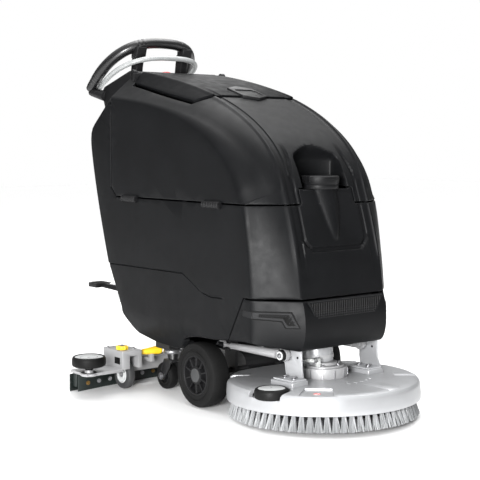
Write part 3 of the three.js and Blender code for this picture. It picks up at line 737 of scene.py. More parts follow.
def cut_seams(bm):
    """Cuts the skin along both edges of every seam between its mouldings and opens the gap."""
    for point, normal, near in SEAMS:
        point, normal = Vector(point), Vector(normal).normalized()
        for side in (-1, 1):
            scored(bm, point + normal * side * SEAM_HALF, normal, near)
    gone = set()
    for face in bm.faces:
        c = face.calc_center_median()
        for point, normal, near in SEAMS:
            point, normal = Vector(point), Vector(normal).normalized()
            away = (c - point).dot(normal)
            if abs(away) < SEAM_HALF and near(c):
                above = region(c + normal * (SEAM_HALF + 1 - away))
                below = region(c - normal * (SEAM_HALF + 1 + away))
                if above != below:
                    gone.add(face)
    bmesh.ops.delete(bm, geom=list(gone), context="FACES")
    rim = [v for v in bm.verts if any(e.is_boundary for e in v.link_edges)]
    bmesh.ops.remove_doubles(bm, verts=rim, dist=0.9)


def rim_ways(rim):
    """For each vertex of an open rim, the skin's normal, the way out over the rim, and its place."""
    sums = {}
    for edge in rim:
        face = edge.link_faces[0]
        a, b = edge.verts
        out = (b.co - a.co).normalized().cross(face.normal)
        if out.dot(face.calc_center_median() - (a.co + b.co) / 2) > 0:
            out = -out
        for vert in (a, b):
            normal, total = sums.get(vert, (Vector(), Vector()))
            sums[vert] = (normal + face.normal, total + out)
    return {v: (n.normalized(), t.normalized(), v.co.copy()) for v, (n, t) in sums.items()}


def rolled(bm):
    """Turns each open rim of a skin inwards round a small edge."""
    rim = [e for e in bm.edges if e.is_boundary]
    ways = rim_ways(rim)
    turns = [math.radians(a) for a in (30, 60, 90)]
    moves = [(ROLL_RADIUS * math.sin(a), ROLL_RADIUS * (1 - math.cos(a))) for a in turns]
    moves.append((ROLL_RADIUS, ROLL_DEPTH))
    for out, down in moves:
        drawn = bmesh.ops.extrude_edge_only(bm, edges=rim)["geom"]
        fresh = [g for g in drawn if isinstance(g, bmesh.types.BMVert)]
        following = {}
        for vert in fresh:
            for edge in vert.link_edges:
                old = edge.other_vert(vert)
                if old in ways and (old.co - vert.co).length < 1e-6:
                    following[vert] = ways[old]
        for vert, (normal, outward, base) in following.items():
            vert.co = base + outward * out - normal * down
        ways = following
        known = set(fresh)
        rim = [g for g in drawn if isinstance(g, bmesh.types.BMEdge) and known.issuperset(g.verts)]
    return bm


def walled(made, thickness):
    """Gives a skin a wall that grows inwards."""
    wall = made.modifiers.new("wall", "SOLIDIFY")
    wall.thickness = thickness
    wall.offset = -1
    wall.use_rim = True


def only(skin, name):
    """A copy of the skin that keeps one moulding, without the open bays below."""
    part = skin.copy()
    gone = []
    for face in part.faces:
        c = face.calc_center_median()
        if region(c) != name or face.material_index == 1:
            gone.append(face)
    bmesh.ops.delete(part, geom=gone, context="FACES")
    part.normal_update()
    return part


MOULDINGS = (
    ("solution_tank", "chassis", "anthracite", 0.0),
    ("recovery_tank", "recovery_tank", "anthracite", 0.0),
    ("tank_lid", "tank_lid", "lid_skin", 4.5),
    ("front_bumper", "chassis", "anthracite", 0.0),
)
WALL_THICKNESS = 0.004


def build_body():
    """The two tanks, the lid, the bumper and the recovery tank's floor."""
    skin = body_skin()
    add_side_step(skin)
    cut_seams(skin)
    for name, body, finish, rise in MOULDINGS:
        part = rolled(only(skin, name))
        bmesh.ops.translate(part, verts=part.verts, vec=(0, 0, rise))
        made = piece(name + "_skin", body, [(finish, part)], [name], 40, False)
        walled(made, WALL_THICKNESS)
    half = [(-690, 226), (-130, 226), (-60, 150)]
    outline = [(x, -y) for x, y in half] + half[::-1]
    floor = prism(outline, 588, 593, "Z", 1.5, 1)
    piece("recovery_tank_floor", "recovery_tank", [("anthracite", floor)], ())
    skin.free()


# ------------------------------------------------------------------ wheels


def wheel(node, tyre, hub, cap, spokes=0):
    """A detailed wheel in the place of a frame node, with its axle across the machine."""
    low, high = limits(node)
    centre = (low + high) / 2
    r = (high.z - low.z) / 2
    w = (high.y - low.y) / 2
    rim = r * 0.60
    profile = [
        (-w * 0.90, rim), (-w * 0.97, rim + r * 0.04), (-w * 0.97, r * 0.72), (-w * 0.93, r * 0.73),
        (-w * 0.93, r * 0.76), (-w, r * 0.78), (-w * 0.99, r * 0.86), (-w * 0.88, r * 0.95),
        (-w * 0.62, r * 0.992), (0, r),
    ]
    profile += [(-a, b) for a, b in reversed(profile[:-1])]
    parts = [(tyre, turned(profile, centre, (0, 1, 0), 56))]
    dish = [
        (-w * 0.92, rim * 1.01), (-w * 0.96, rim * 0.97), (-w * 0.90, rim * 0.93), (-w * 0.50, rim * 0.88),
        (-w * 0.42, rim * 0.50), (-w * 0.85, rim * 0.46), (-w * 0.90, rim * 0.40), (-w * 0.90, 0),
    ]
    dish += [(-a, b) for a, b in reversed(dish)]
    parts.append((hub, turned(dish, centre, (0, 1, 0), 48)))
    for face in (-1, 1):
        out = centre + Vector((0, face * w * 0.88, 0))
        knob = [(0, rim * 0.36), (w * 0.10, rim * 0.34), (w * 0.16, rim * 0.24), (w * 0.18, 0)]
        parts.append((cap, turned([(-2, 0), (-2, rim * 0.36), *knob], out, (0, face, 0), 32)))
        near, far = sorted((face * w * 0.55, face * w * 0.84))
        for i in range(spokes):
            turn = Matrix.Translation(centre) @ Matrix.Rotation(2 * math.pi * i / spokes, 4, "Y")
            spoke = block((-1.6, near, rim * 0.42), (1.6, far, rim * 0.92), 0.6, 1)
            parts.append((hub, placed(spoke, turn)))
    return parts


def build_wheels(sizes):
    """The drive wheels, the casters and the squeegee's own wheels and rollers."""
    for side in SIDES:
        tyre, rim = f"main_tyre_{side}", f"main_rim_{side}"
        parts = wheel(tyre, "tyre", "wheel_core", "grey_rubber", sizes.spokes)
        piece(f"drive_wheel_{side}", f"main_wheel_{side}", parts, [tyre, rim])
        node = f"caster_wheel_{side}"
        parts = wheel(node, "black_rubber", "wheel_core", "steel")
        piece(f"{node}_finished", node, parts, [node])
        build_caster_fork(side)
        node = f"squeegee_wheel_{side}"
        parts = wheel(node, "grey_rubber", "hub_white", "steel", 5)
        piece(f"{node}_finished", node, parts, [node])
        build_bumper_roller(side)


def bolt(place, axis, size=6.0, length=4.0, washer=1.7):
    """A hexagon head on its washer, pointing along the axis."""
    place, axis = Vector(place), Vector(axis).normalized()
    head = rod(place + axis * 1.2, place + axis * (1.2 + length), size, sides=6, rounding=0.7)
    return merged(rod(place - axis * 2, place + axis * 1.2, size * washer, sides=20), head)


def build_caster_fork(side):
    """One caster's fork with its axle bolts and swivel race."""
    node = f"caster_fork_{side}"
    low, high = limits(node)
    axle = middle_of(f"caster_wheel_{side}")
    parts = [("black_steel", copy_of(node, 2.0))]
    for face, y in ((-1, low.y), (1, high.y)):
        parts.append(("steel", bolt((axle.x, y + face * 0.5, axle.z), (0, face, 0), 6.5, 4)))
    top = Vector((high.x - 24, (low.y + high.y) / 2, high.z))
    race = [(-16, 20), (-16, 25), (-12, 27), (-7, 27), (-4, 25), (-4, 20)]
    parts.append(("steel", turned(race, top, (0, 0, 1), 32)))
    piece(f"{node}_finished", node, parts, [node])


def build_bumper_roller(side):
    """One guide roller with its pale cap and dark hub."""
    node = f"bumper_roller_{side}"
    low, high = limits(node)
    c = middle_of(node)
    r = (high.x - low.x) / 2
    base = Vector((c.x, c.y, high.z))
    tyre = [
        (-30, r * 0.5), (-30, r * 0.86), (-27, r * 0.97), (-22, r), (-10, r), (-5, r * 0.98),
        (-1, r * 0.93), (0, r * 0.88), (-1, r * 0.84), (-3, r * 0.83), (-3, r * 0.5),
    ]
    cap = [(-26, 0), (-26, r * 0.8), (-2.4, r * 0.82), (-1.6, r * 0.78), (-4.2, r * 0.3), (-4.4, 0)]
    hub = [(-41, 0), (-41, r * 0.20), (-34, r * 0.34), (-29, r * 0.36), (-29, 0)]
    parts = [
        ("black_rubber", turned(tyre, base, (0, 0, 1), 56)),
        ("hub_white", turned(cap, base, (0, 0, 1), 40)),
        ("black_plastic", turned(hub, base, (0, 0, 1), 28)),
        ("steel", turned([(-6, 0), (-6, 4.2), (-3.6, 4), (-3.0, 0)], base, (0, 0, 1), 16)),
    ]
    piece(f"{node}_finished", node, parts, [node])


# ------------------------------------------------------------------ deck

DECK_PLACE = Matrix.Translation((0, 0, 6.4)) @ Matrix.Rotation(math.radians(-1.4), 4, "Y")


def on_deck(*shapes):
    """Shapes made level, put on the pitched deck."""
    return [placed(shape, DECK_PLACE) for shape in shapes]


SIGN_ANGLE = -46.0
# Angle round the spindle, length and width of each tab on the cover's rim.
TABS = ((-138, 52, 36), (5, 92, 44), (55, 58, 40), (118, 50, 30))
TAB_RADIUS, TAB_Z = 254, 95.5
MARK_ANGLES = (-12, -2, 8, 18, 28)
ROLLER_PLACE = Vector((56, -230, 0))
COVER_PROFILE = [
    (92, 0), (91, 222), (86, 252), (45, 260), (43.5, 263), (45, 266), (60, 266.4), (82, 264.8),
    (89, 263), (94, 259), (97, 252), (98.4, 240), (99.4, 200), (100, 150), (100.6, 110), (101, 0),
]
ORIGIN, UP = (0, 0, 0), (0, 0, 1)


def build_deck_cover():
    """The painted cover with its rim cut-out, tabs and front recess."""
    shell = turned(COVER_PROFILE, ORIGIN, UP, 120)
    x, y = ROLLER_PLACE.x, middle_of("deck_roller").y
    pocket = rod((x, y, 79), (x, y, 140), 50, sides=48)
    gate = block((x - 50, y - 70, 79), (x + 42, y, 140), 0)
    rear = block((-330, -210, -10), (-222, 210, 200))
    rooms = [rod((-272, s * 174, 86), (-272, s * 300, 86), 113, sides=64) for s in (-1, 1)]
    eye = rod((0, 0, 80), (0, 0, 130), 26, sides=32)
    wedge = prism([(178, -36), (262, -46), (262, 46), (178, 36)], 94.6, 130, "Z")
    cover = cut_by(shell, pocket, gate, rear, *rooms, eye, placed(wedge, about(SIGN_ANGLE)))
    saucer = rod((x, y, 72), (x, y, 79), 54, sides=40)
    parts = [cover, combined(saucer, "INTERSECT", rod((0, 0, 60), (0, 0, 90), 262, sides=72))]
    low_pad = [(-14, -176), (76, -176), (72, -116), (-10, -116)]
    high_pad = [(-12, 100), (76, 100), (76, 158), (-12, 158)]
    parts += [prism(outline, 97, 112, "Z", 3.5, 3) for outline in (low_pad, high_pad)]
    for angle, length, width in TABS:
        outline = [(-length, 0), (-length, 4.5), (-8, 4.2), (1.5, 1.0), (1.5, -3), (0, -6)]
        tab = prism(outline, -width / 2, width / 2, "Y", 1.4)
        parts.append(placed(tab, about(angle, (TAB_RADIUS, 0, TAB_Z))))
    for i, angle in enumerate(MARK_ANGLES):
        mark = block((-7 + i, -2.2, 0), (7 - i, 2.2, 2.2), 0.8)
        parts.append(placed(mark, about(angle, (134, 0, 99.2))))
    return merged(*on_deck(*parts))


TUFT_ROOT_Z = 42
SPREAD_AT_ROOT, SPREAD_AT_TIP = 0.42, 0.98


def build_brush_tufts(count, strands, rng):
    """The rings of splayed bristle tufts, each drawn as a few strands."""
    # Tufts in the ring, radius at the root and at the tip, strands in each tuft.
    rings = [
        (count, 245, 262, strands),
        (count - 8, 224, 233, 5),
        (60, 196, 200, 2),
        (48, 160, 162, 2),
        (40, 128, 122, 2),
    ]
    tufts = bmesh.new()
    for tufts_round, root, tip, each in rings:
        fine = each > 3
        wide = 1.3 if fine else 3.4
        for i, s in itertools.product(range(tufts_round), range(each)):
            base = 2 * math.pi * i / tufts_round
            spread = (s + 0.5) / each - 0.5
            a = base + spread * SPREAD_AT_ROOT * 2 * math.pi / tufts_round
            b = base + spread * SPREAD_AT_TIP * 2 * math.pi / tufts_round + rng.uniform(-0.004, 0.004)
            near = root + rng.uniform(-3, 3)
            far = tip + rng.uniform(-9, 0) * (1 if fine else 0.4)
            start = Vector((math.cos(a) * near, math.sin(a) * near, TUFT_ROOT_Z))
            end = Vector((math.cos(b) * far, math.sin(b) * far, rng.uniform(0.4, 2.0)))
            add_strand(tufts, start, end, wide)
    return tufts


def add_strand(tufts, start, end, wide):
    """One four-sided strand that thins towards its tip."""
    along = end - start
    turn = along.to_track_quat("Z", "Y").to_matrix().to_4x4()
    bmesh.ops.create_cone(
        tufts,
        cap_ends=True,
        segments=4,
        radius1=wide,
        radius2=wide * 0.8,
        depth=along.length,
        matrix=DECK_PLACE @ Matrix.Translation((start + end) / 2) @ turn,
    )


GEARBOX_X, CAN_X = 4, -22
GEARBOX_FOOT = 100.4


def build_gearmotor():
    """The faceted gearbox, the motor can and their bolts."""
    x, base = GEARBOX_X, GEARBOX_FOOT
    drum = rod((x, 0, base), (x, 0, 129), 66, sides=12, rounding=1.8)
    upper = rod((x, 0, 128), (x, 0, 134), 56, 54, sides=48, rounding=1.2)
    crown = rod((x, 0, 133), (x, 0, 141), 38.5, 36, sides=36, rounding=1.2)
    profile = [
        (base, 0), (base, 43), (150, 43), (151.5, 41.6), (153, 43), (196, 43), (200, 41.5),
        (205, 36), (205, 0),
    ]
    can = turned(profile, (CAN_X, 0, 0), UP, 48)
    metal = [bolt((x + 47 * math.cos(a), 47 * math.sin(a), 134), UP, 3.4, 3.2) for a in angles(6, 15)]
    for a in angles(12, 15):
        rib = block((-2, -1.2, 0), (1.6, 1.2, 22), 0.5, 1)
        turn = Matrix.Rotation(a, 4, "Z") @ Matrix.Translation((65, 0, 0))
        rib.transform(Matrix.Translation((x, 0, base + 2)) @ turn)
        if math.cos(a) > -0.2:
            metal.append(rib)
    collar = turned([(150, 38), (150, 45), (160, 45), (160, 38)], (CAN_X, 0, 0), UP, 48)
    parts = [
        ("cast_silver", merged(*on_deck(drum, upper, crown))),
        ("deck_silver", merged(*on_deck(can))),
        ("steel", merged(*on_deck(*metal))),
        ("cast_silver", merged(*on_deck(collar))),
    ]
    piece("gearmotor_finished", "deck", parts, ["gearmotor"])


def angles(count, first):
    """Even angles round a circle in radians, from a first one in degrees."""
    return [math.radians(360 / count * i + first) for i in range(count)]


def build_fitting():
    """The clear water elbow with its hose clips."""
    bend = bezier([(28, -60, 152), (26, -72, 152), (8, -71, 152), (-9, -70, 152)], 10)
    clear = [
        rod((28, -38, 152), (28, -62, 152), 5.6, sides=20, rounding=0.6),
        swept(bend, 5.0, 14),
        rod((28, -42, 134.2), (28, -42, 156.5), 7.6, sides=18, rounding=0.8),
    ]
    wide = [(-1.1, 5.2), (-1.1, 7.2), (1.1, 7.2), (1.1, 5.2)]
    narrow = [(-1.2, 4.6), (-1.2, 6.4), (1.2, 6.4), (1.2, 4.6)]
    clips = [turned(wide, (28, y, 152), (0, 1, 0), 24) for y in (-44, -49, -54, -60)]
    clips += [turned(narrow, (x, -70.6, 152), (1, 0, 0), 24) for x in (4, -2)]
    clips.append(rod((28, -42, 156), (28, -42, 158.6), 4.4, sides=6, rounding=0.5))
    parts = [("clear_plastic", merged(*on_deck(*clear))), ("steel", merged(*on_deck(*clips)))]
    piece("water_fitting_finished", "deck", parts, ["water_fitting"])


PIVOT_Z = 180


def build_brackets():
    """The two sheet brackets on the deck with their bolts, and the lifting arms."""
    for side, hand in SIDES.items():
        right = hand < 0
        node = f"deck_bracket_{side}"
        parts = [("deck_silver", copy_of(node, 1.1, 30, 1))]
        foot_y = -146 if right else 126
        steel = on_deck(*[bolt((x, foot_y, 116.4), UP, 5.6, 4.5) for x in (12, 48)])
        pivot = Vector((0, -146.6 if right else 154, PIVOT_Z))
        steel.append(bolt(pivot + Vector((0, hand * 11, 0)), (0, hand, 0), 6.5, 4.5, 1.2))
        ring = turned([(0, 5), (0, 14), (2, 15.5), (8, 15.5), (10, 14), (10, 5)], pivot, (0, hand, 0), 32)
        washer = turned([(10, 4), (10, 11.5), (12, 11.5), (12, 4)], pivot, (0, hand, 0), 28)
        parts += [("steel", merged(*steel)), ("black_rubber", ring), ("hub_white", washer)]
        face = -125.6 if right else 150
        parts.append(("black_plastic", rod((36, face + 1, 176), (36, face - 0.8, 176), 3.4, sides=14)))
        piece(f"{node}_finished", "deck", parts, [node])
        node = f"deck_arm_{side}"
        low, high = limits(node)
        pin = bolt((-274, low.y if right else high.y, 170), (0, hand, 0), 7.5, 5, 1.3)
        parts = [("cast_silver", copy_of(node, 1.6, 30, 2)), ("steel", pin)]
        piece(f"{node}_finished", "deck_arms", parts, [node])


def build_deck(sizes):
    """The disc brush deck and all that rides on it."""
    cover = [("deck_silver", build_deck_cover())]
    piece("deck_cover_finished", "deck", cover, ["deck_cover"], 28)
    build_sign()
    build_brush(sizes)
    build_gearmotor()
    build_fitting()
    build_brackets()
    build_deck_roller()


def build_sign():
    """The round white sign in the cover's front recess, with a red ring and bar."""
    plate = rod(ORIGIN, (0, 0, 0.5), 9.5, sides=32)
    ring = turned([(0.5, 7.0), (0.5, 9.4), (0.9, 9.4), (0.9, 7.0)], ORIGIN, UP, 32)
    dash = placed(block((-7.5, -1.1, 0.4), (7.5, 1.1, 0.9)), about(45))
    for shape in (plate, ring, dash):
        shape.transform(DECK_PLACE @ about(SIGN_ANGLE, (228, 0, 94.8)))
    parts = [("sticker_white", merged(plate)), ("sticker_red", merged(ring, dash))]
    piece("deck_sign", "deck", parts, ())


def build_brush(sizes):
    """The brush: its bristles and the plate that holds them."""
    rng = random.Random(sizes.seed)
    tufts = build_brush_tufts(sizes.tufts, sizes.strands, rng)
    profile = [(40.5, 100), (40.5, 238), (30, 240), (30, 240), (52, 246), (62, 246), (62, 100)]
    core = turned(profile, ORIGIN, UP, 64)
    piece("brush_tufts", "brush", [("bristle", tufts)], ["brush_bristles"], 60)
    plate = [
        core,
        rod((0, 0, 61), (0, 0, 86), 60, 36, sides=32, rounding=2),
        rod((0, 0, 40.5), (0, 0, 62), 104, sides=48),
    ]
    parts = [("black_plastic", merged(*on_deck(*plate)))]
    piece("brush_plate", "brush", parts, ["brush_disc"])


def build_deck_roller():
    """The guide roller on the deck's rim with its pale cap and screw."""
    c = ROLLER_PLACE
    tyre = [
        (78, 20), (78, 41), (80, 44), (84, 45), (98, 45), (102, 43.5), (104.6, 40), (105.2, 37),
        (103.5, 35), (103.5, 20),
    ]
    cap = [(80, 0), (80, 36), (103.8, 36), (104.6, 34), (105.8, 20), (106, 0)]
    screw = rod(c + Vector((0, 0, 105.5)), c + Vector((0, 0, 106.6)), 2.4, sides=12)
    parts = [
        ("black_rubber", merged(*on_deck(turned(tyre, c, UP, 56)))),
        ("hub_white", merged(*on_deck(turned(cap, c, UP, 48)))),
        ("steel", merged(*on_deck(screw))),
    ]
    piece("deck_roller_finished", "deck_roller", parts, ["deck_roller"])


# ------------------------------------------------------------------ handle


def loop_path(front, foot, half, exponent, tuck, count):
    """The line of a handle loop that starts and ends at its feet."""
    found = []
    for i in range(count + 1):
        t = math.pi * i / count
        s, c = math.sin(t), math.cos(t)
        along = 1 - s ** (2 / exponent)
        across = half * math.copysign(abs(c) ** (2 / exponent), c) - math.copysign(tuck * (1 - s) ** 2, c)
        found.append(Vector((
            front[0] + (foot[0] - front[0]) * along,
            across,
            front[1] + (foot[1] - front[1]) * along,
        )))
    return found


def even(path, step):
    """A path's points at even steps along it."""
    found = [path[0]]
    left = step
    for a, b in zip(path, path[1:]):
        length = (b - a).length
        while left <= length and length > 0:
            found.append(a.lerp(b, left / length))
            left += step
        left -= length
    found.append(path[-1])
    return found


GRIP_RADIUS, PADDED_RADIUS, PADDED_FROM, PADDED_TO = 16.6, 17.8, 0.20, 0.86
GRIP_RINGS = (0.20, 0.235, 0.27, 0.80, 0.83, 0.86)
LEVER_RADIUS = 8.2


def build_handle():
    """The padded loop handle, the grey lever in front of it and the ribbed struts."""
    build_grip()
    build_lever()
    for side, hand in SIDES.items():
        build_strut(side, hand)


def build_grip():
    """The padded loop, a little thicker between its moulded rings."""
    path = even(loop_path((-773, 1062), (-955, 919), 174, 2.6, 11, 400), 2.2)
    last = len(path) - 1
    radii = []
    for i in range(last + 1):
        t = abs(2 * i / last - 1)
        r = PADDED_RADIUS if PADDED_FROM < t < PADDED_TO else GRIP_RADIUS
        for step in GRIP_RINGS:
            r -= 0.9 * math.exp(-(((t - step) * last / 2) ** 2) / 1.2)
        radii.append(r * (1 if t < 0.97 else 0.93))
    parts = [("grip_foam", swept(path, radii, 22))]
    piece("handle_grip", "chassis", parts, ["handlebar"], 50)


def build_lever():
    """The grey lever loop with the boss at each of its feet."""
    path = even(loop_path((-727, 1012), (-972, 916), 168, 2.9, 38, 400), 3.0)
    bosses = []
    for foot in (path[-1], path[0]):
        bosses.append(ball((foot.x + 2, foot.y, foot.z), 12.5, (1.0, 1.1, 0.95), 3))
        near = (foot.x - 4, foot.y - 9, foot.z - 14)
        bosses.append(block(near, (foot.x + 26, foot.y + 9, foot.z + 2), 4, 3))
    parts = [("lever_grey", merged(swept(path, LEVER_RADIUS, 20), *bosses))]
    piece("dead_man_lever", "deadman_lever", parts, ["deadman_lever"], 50)


def build_strut(side, hand):
    """One handle strut with its slanted ribs and the web under the grip."""
    node = f"handle_strut_{side}"
    low, high = limits(node)
    shapes = [copy_of(node, 1.5)]
    for i in range(4):
        x = low.x + 4 + i * 6.5
        rib = [(x, low.z), (x + 2.6, low.z), (x + 2.6 + 22, high.z - 6), (x + 22, high.z - 6)]
        shapes.append(prism(rib, low.y - 2.0, high.y + 2.0, "Y", 0.6, 1))
    web = [(high.x - 26, 1012), (high.x + 5, 1012), (high.x + 16, 1046), (high.x - 22, 1049)]
    shapes.append(prism(web, *sorted((hand * 70, hand * 106)), "Y", 3.0, 2))
    piece(f"{node}_finished", "chassis", [("black_plastic", merged(*shapes))], [node])


PANEL_MIDDLE = (-800, 0, 938.6)
PANEL_TILT = math.atan2(36, 124)
BUTTONS = (("start_button", (30, 40), "button_green"), ("program_button", (0, 40), "grey_rubber"))
STOP_SPOT = (30, 5)


def build_dashboard():
    """The control housing with its screen, keys, key switch and emergency button."""
    parts = [("black_plastic", copy_of("dashboard", 2.2, 30, 2))]
    piece("dashboard_finished", "chassis", parts, ["dashboard"])
    face = Matrix.Translation(PANEL_MIDDLE) @ Matrix.Rotation(-PANEL_TILT, 4, "Y")
    glass = block((-44, -58, 1.3), (12, -4, 2.4), 0.8)
    lights = [rod((-36 + 12 * i, 6, 1.2), (-36 + 12 * i, 6, 2.6), 2.0, sides=14) for i in range(4)]
    parts = [
        ("black_plastic", copy_of("display_panel", 1.2, 30, 2)),
        ("screen_glass", placed(glass, face)),
        ("button_green", placed(merged(*lights), face)),
    ]
    piece("display_panel_finished", "chassis", parts, ["display_panel"])
    for name, spot, finish in BUTTONS:
        low, high = limits(name)
        r = (high.y - low.y) / 2
        top = (high.z - low.z) * 0.62
        profile = [
            (-4, 0), (-4, r), (top - 2.2, r), (top - 0.8, r * 0.9), (top - 0.3, r * 0.6),
            (top - 1.0, 0),
        ]
        shape = placed(turned(profile, (*spot, 0), UP, 28), face)
        piece(f"{name}_finished", name, [(finish, shape)], [name])
    mushroom = [(-3, 0), (-3, 11), (9, 11), (9, 24), (12, 25), (17, 24.4), (20.5, 20), (22, 12), (22.4, 0)]
    collar = [(0, 14), (0, 19), (5, 17), (5, 14)]
    parts = [
        ("red_plastic", placed(turned(mushroom, (*STOP_SPOT, 0), UP, 40), face)),
        ("yellow_plastic", placed(turned(collar, (*STOP_SPOT, 1.6), UP, 32), face)),
    ]
    piece("emergency_stop_finished", "emergency_stop", parts, ["emergency_stop"])
    parts = [("steel", copy_of("key_switch", 0.8, 30, 2))]
    piece("key_switch_finished", "key_switch", parts, ["key_switch"])


# ------------------------------------------------------------------ squeegee


BEAM_END_Y, BEAM_END_X = 262, -583
GRIP_PROFILE = [(-36, 0), (-36, 6), (-30, 8), (0, 11.5), (22, 13.5), (30, 12.5), (34, 8), (35, 0)]


def build_squeegee():
    """The squeegee's cast beam, arm, blades, grips and knobs."""
    build_beam()
    build_arm()
    build_blades()
    for side, hand in SIDES.items():
        build_squeegee_grip(side, hand)
        build_height_knob(side)
        build_wing_knob(side)


def build_beam():
    """The cast beam with its ribs, end eyes and screws, and near-black plates of painted shade in place of
    its openings.
    """
    beam = [copy_of("squeegee_beam", 1.8, 30, 2)]
    dark = []
    steel = []
    eye = [(0, 14), (0, 24), (2, 26), (7, 26), (9, 24), (9, 14)]
    for hand in (-1, 1):
        middle = hand * BEAM_END_Y
        beam.append(prism([(-664, 70), (-700, 70), (-664, 122)], middle - 4, middle + 4, "Y", 1))
        face = -300 if hand < 0 else 300
        near, far = (face - 1, face + 2) if hand < 0 else (face - 2, face + 1)
        # Painted shade: a thin near-black plate on each end face stands in for the shaded opening there.
        dark.append(block((-600, near, 84), (-570, far, 104), 1))
        end = (BEAM_END_X, hand * 399)
        beam.append(rod((*end, 60), (*end, 80), 12, 9, sides=28, rounding=1))
        beam.append(turned(eye, (*end, 62), UP, 40))
        steel.append(bolt((-590, hand * 240, 124), UP, 4, 3))
        steel.append(bolt((-650, hand * 292, 124), UP, 4, 3))
        beam.append(rod((-624, hand * 150, 88), (-624, hand * 150, 96), 11, 9, sides=24, rounding=1))
        steel.append(bolt((-624, hand * 150, 96), UP, 5, 3.4))
    for y in (-190, -110, 110, 190):
        beam.append(block((-638, y - 2.2, 86), (-610, y + 2.2, 93), 1.2))
    beam.append(block((-632, -228, 86), (-628, 228, 92.5), 1.2))
    beam.append(block((-620, -228, 86), (-616, 228, 92.5), 1.2))
    parts = [("cast_silver", merged(*beam)), ("painted_shade_black", merged(*dark)), ("steel", merged(*steel))]
    piece("squeegee_beam_finished", "squeegee", parts, ["squeegee_beam"])


def build_arm():
    """The arm that tows the squeegee, with its two screws."""
    node = "squeegee_arm"
    screws = [bolt((-648, y, 136.6), UP, 4.4, 3) for y in (-64, 64)]
    parts = [(SLOT_OF[node], merged(copy_of(node, 2.0, 30, 2))), ("steel", merged(*screws))]
    piece(f"{node}_finished", "squeegee", parts, [node])


def build_squeegee_grip(side, hand):
    """One yellow grip on its cast stand."""
    y = hand * 186
    way = (0.25, -hand, 0.06)
    grip = turned(GRIP_PROFILE, (-574, y, 113), way, 28)
    collar = turned([(-44, 0), (-44, 5), (-36, 5), (-36, 0)], (-574, y, 113), way, 16)
    stand = block((-582, y - 6, 84), (-566, y + 6, 106), 2)
    foot = block((-616, y - 8, 80), (-566, y + 8, 88), 2)
    parts = [("yellow_plastic", grip), ("cast_silver", merged(collar, stand, foot))]
    piece(f"squeegee_grip_{side}", "squeegee", parts, ())


def build_height_knob(side):
    """One eight-lobed knob that sets the height of a squeegee wheel."""
    node = f"height_knob_{side}"
    low, high = limits(node)
    c = middle_of(node)
    r = (high.x - low.x) / 2
    h = high.z - low.z
    rim = [
        (0, 0), (0, r * 0.8), (1.5, r * 0.95), (4, r), (h - 4, r), (h - 1.8, r * 0.93),
        (h - 1.2, r * 0.6), (h - 2.2, 0),
    ]
    knob = [turned(rim, (c.x, c.y, low.z), UP, 40)]
    for i in range(8):
        a = 2 * math.pi * i / 8
        spot = Vector((c.x + math.cos(a) * r * 0.92, c.y + math.sin(a) * r * 0.92, low.z))
        top = spot + Vector((0, 0, h - 1.6))
        knob.append(rod(spot + Vector((0, 0, 1)), top, r * 0.17, sides=12, rounding=0.6))
    screw = bolt((c.x, c.y, high.z - 2.4), UP, 4.6, 3.2)
    parts = [("yellow_plastic", merged(*knob)), ("steel", screw)]
    piece(f"{node}_finished", node, parts, [node])


def build_wing_knob(side):
    """One two-winged knob that clamps the squeegee to its arm."""
    node = f"squeegee_knob_{side}"
    low, high = limits(node)
    c = middle_of(node)
    wing = [rod((c.x, c.y, low.z), (c.x, c.y, high.z - 4), 9.5, 8, sides=28, rounding=1.2)]
    for sign in (-1, 1):
        tip = [
            (c.y + sign * 4, low.z + 5), (c.y + sign * 21, low.z + 9), (c.y + sign * 22, high.z - 1),
            (c.y + sign * 15, high.z), (c.y + sign * 4, high.z - 5),
        ]
        wing.append(prism(tip, c.x - 4, c.x + 4, "X", 1.8, 2))
    screw = bolt((c.x, c.y, high.z - 4.6), UP, 3.6, 2.6)
    parts = [("yellow_plastic", merged(*wing)), ("steel", screw)]
    piece(f"{node}_finished", node, parts, [node])


ARC_RADIUS = 2142.0


def arc_strip(back, half, section):
    """A strip that follows the squeegee's curve, with a section of (depth, z) pairs."""
    centre = Vector((back + ARC_RADIUS, 0, 0))
    span = math.asin(half / ARC_RADIUS)
    bm = bmesh.new()
    verts = []
    for depth, z in section:
        spoke = Vector((-math.cos(span), -math.sin(span), 0)) * (ARC_RADIUS - depth)
        verts.append(bm.verts.new(centre + spoke + Vector((0, 0, z))))
    face = bm.faces.new(verts)
    bmesh.ops.spin(
        bm,
        geom=[face],
        cent=centre,
        axis=(0, 0, -1),
        angle=2 * span,
        steps=48,
        use_duplicate=False,
    )
    bmesh.ops.recalc_face_normals(bm, faces=bm.faces)
    return bm


BLADE_SECTION = [
    (0, 1.6), (0.6, 0.3), (2.6, 0.3), (3.2, 1.6), (3.2, 24), (5.0, 26), (5.0, 30), (3.2, 32),
    (3.2, 51), (2.4, 52), (0, 52),
]
FLANGE_SECTION = [(6, 58), (44, 58), (44, 62.4), (6, 62.4)]
SCREW_PITCH = 42


def build_blades():
    """The two rubber blades and the curved holder between them."""
    rear = arc_strip(-718.0, 411, BLADE_SECTION)
    for end, shape in (("rear", rear), ("front", copy_of("blade_front", 0.6, 30, 1))):
        node = f"blade_{end}"
        piece(f"{node}_finished", "squeegee", [("blade_rubber", shape)], [node])
    steel, brass = [], []
    for i in range(-9, 10):
        y = i * SCREW_PITCH
        x = -705 + ARC_RADIUS - math.sqrt(ARC_RADIUS ** 2 - y * y)
        target = brass if i % 3 == 0 else steel
        target.append(bolt((x + 46.5, y, 30), (1, 0, 0), 4.2, 3.0, 1.5))
    node = "squeegee_holder"
    holder = merged(copy_of(node, 1.4, 30, 2), arc_strip(-712.6, 400, FLANGE_SECTION))
    parts = [(SLOT_OF[node], holder), ("steel", merged(*steel)), ("brass", merged(*brass))]
    piece(f"{node}_finished", "squeegee", parts, [node])


# ------------------------------------------------------------------ body fittings


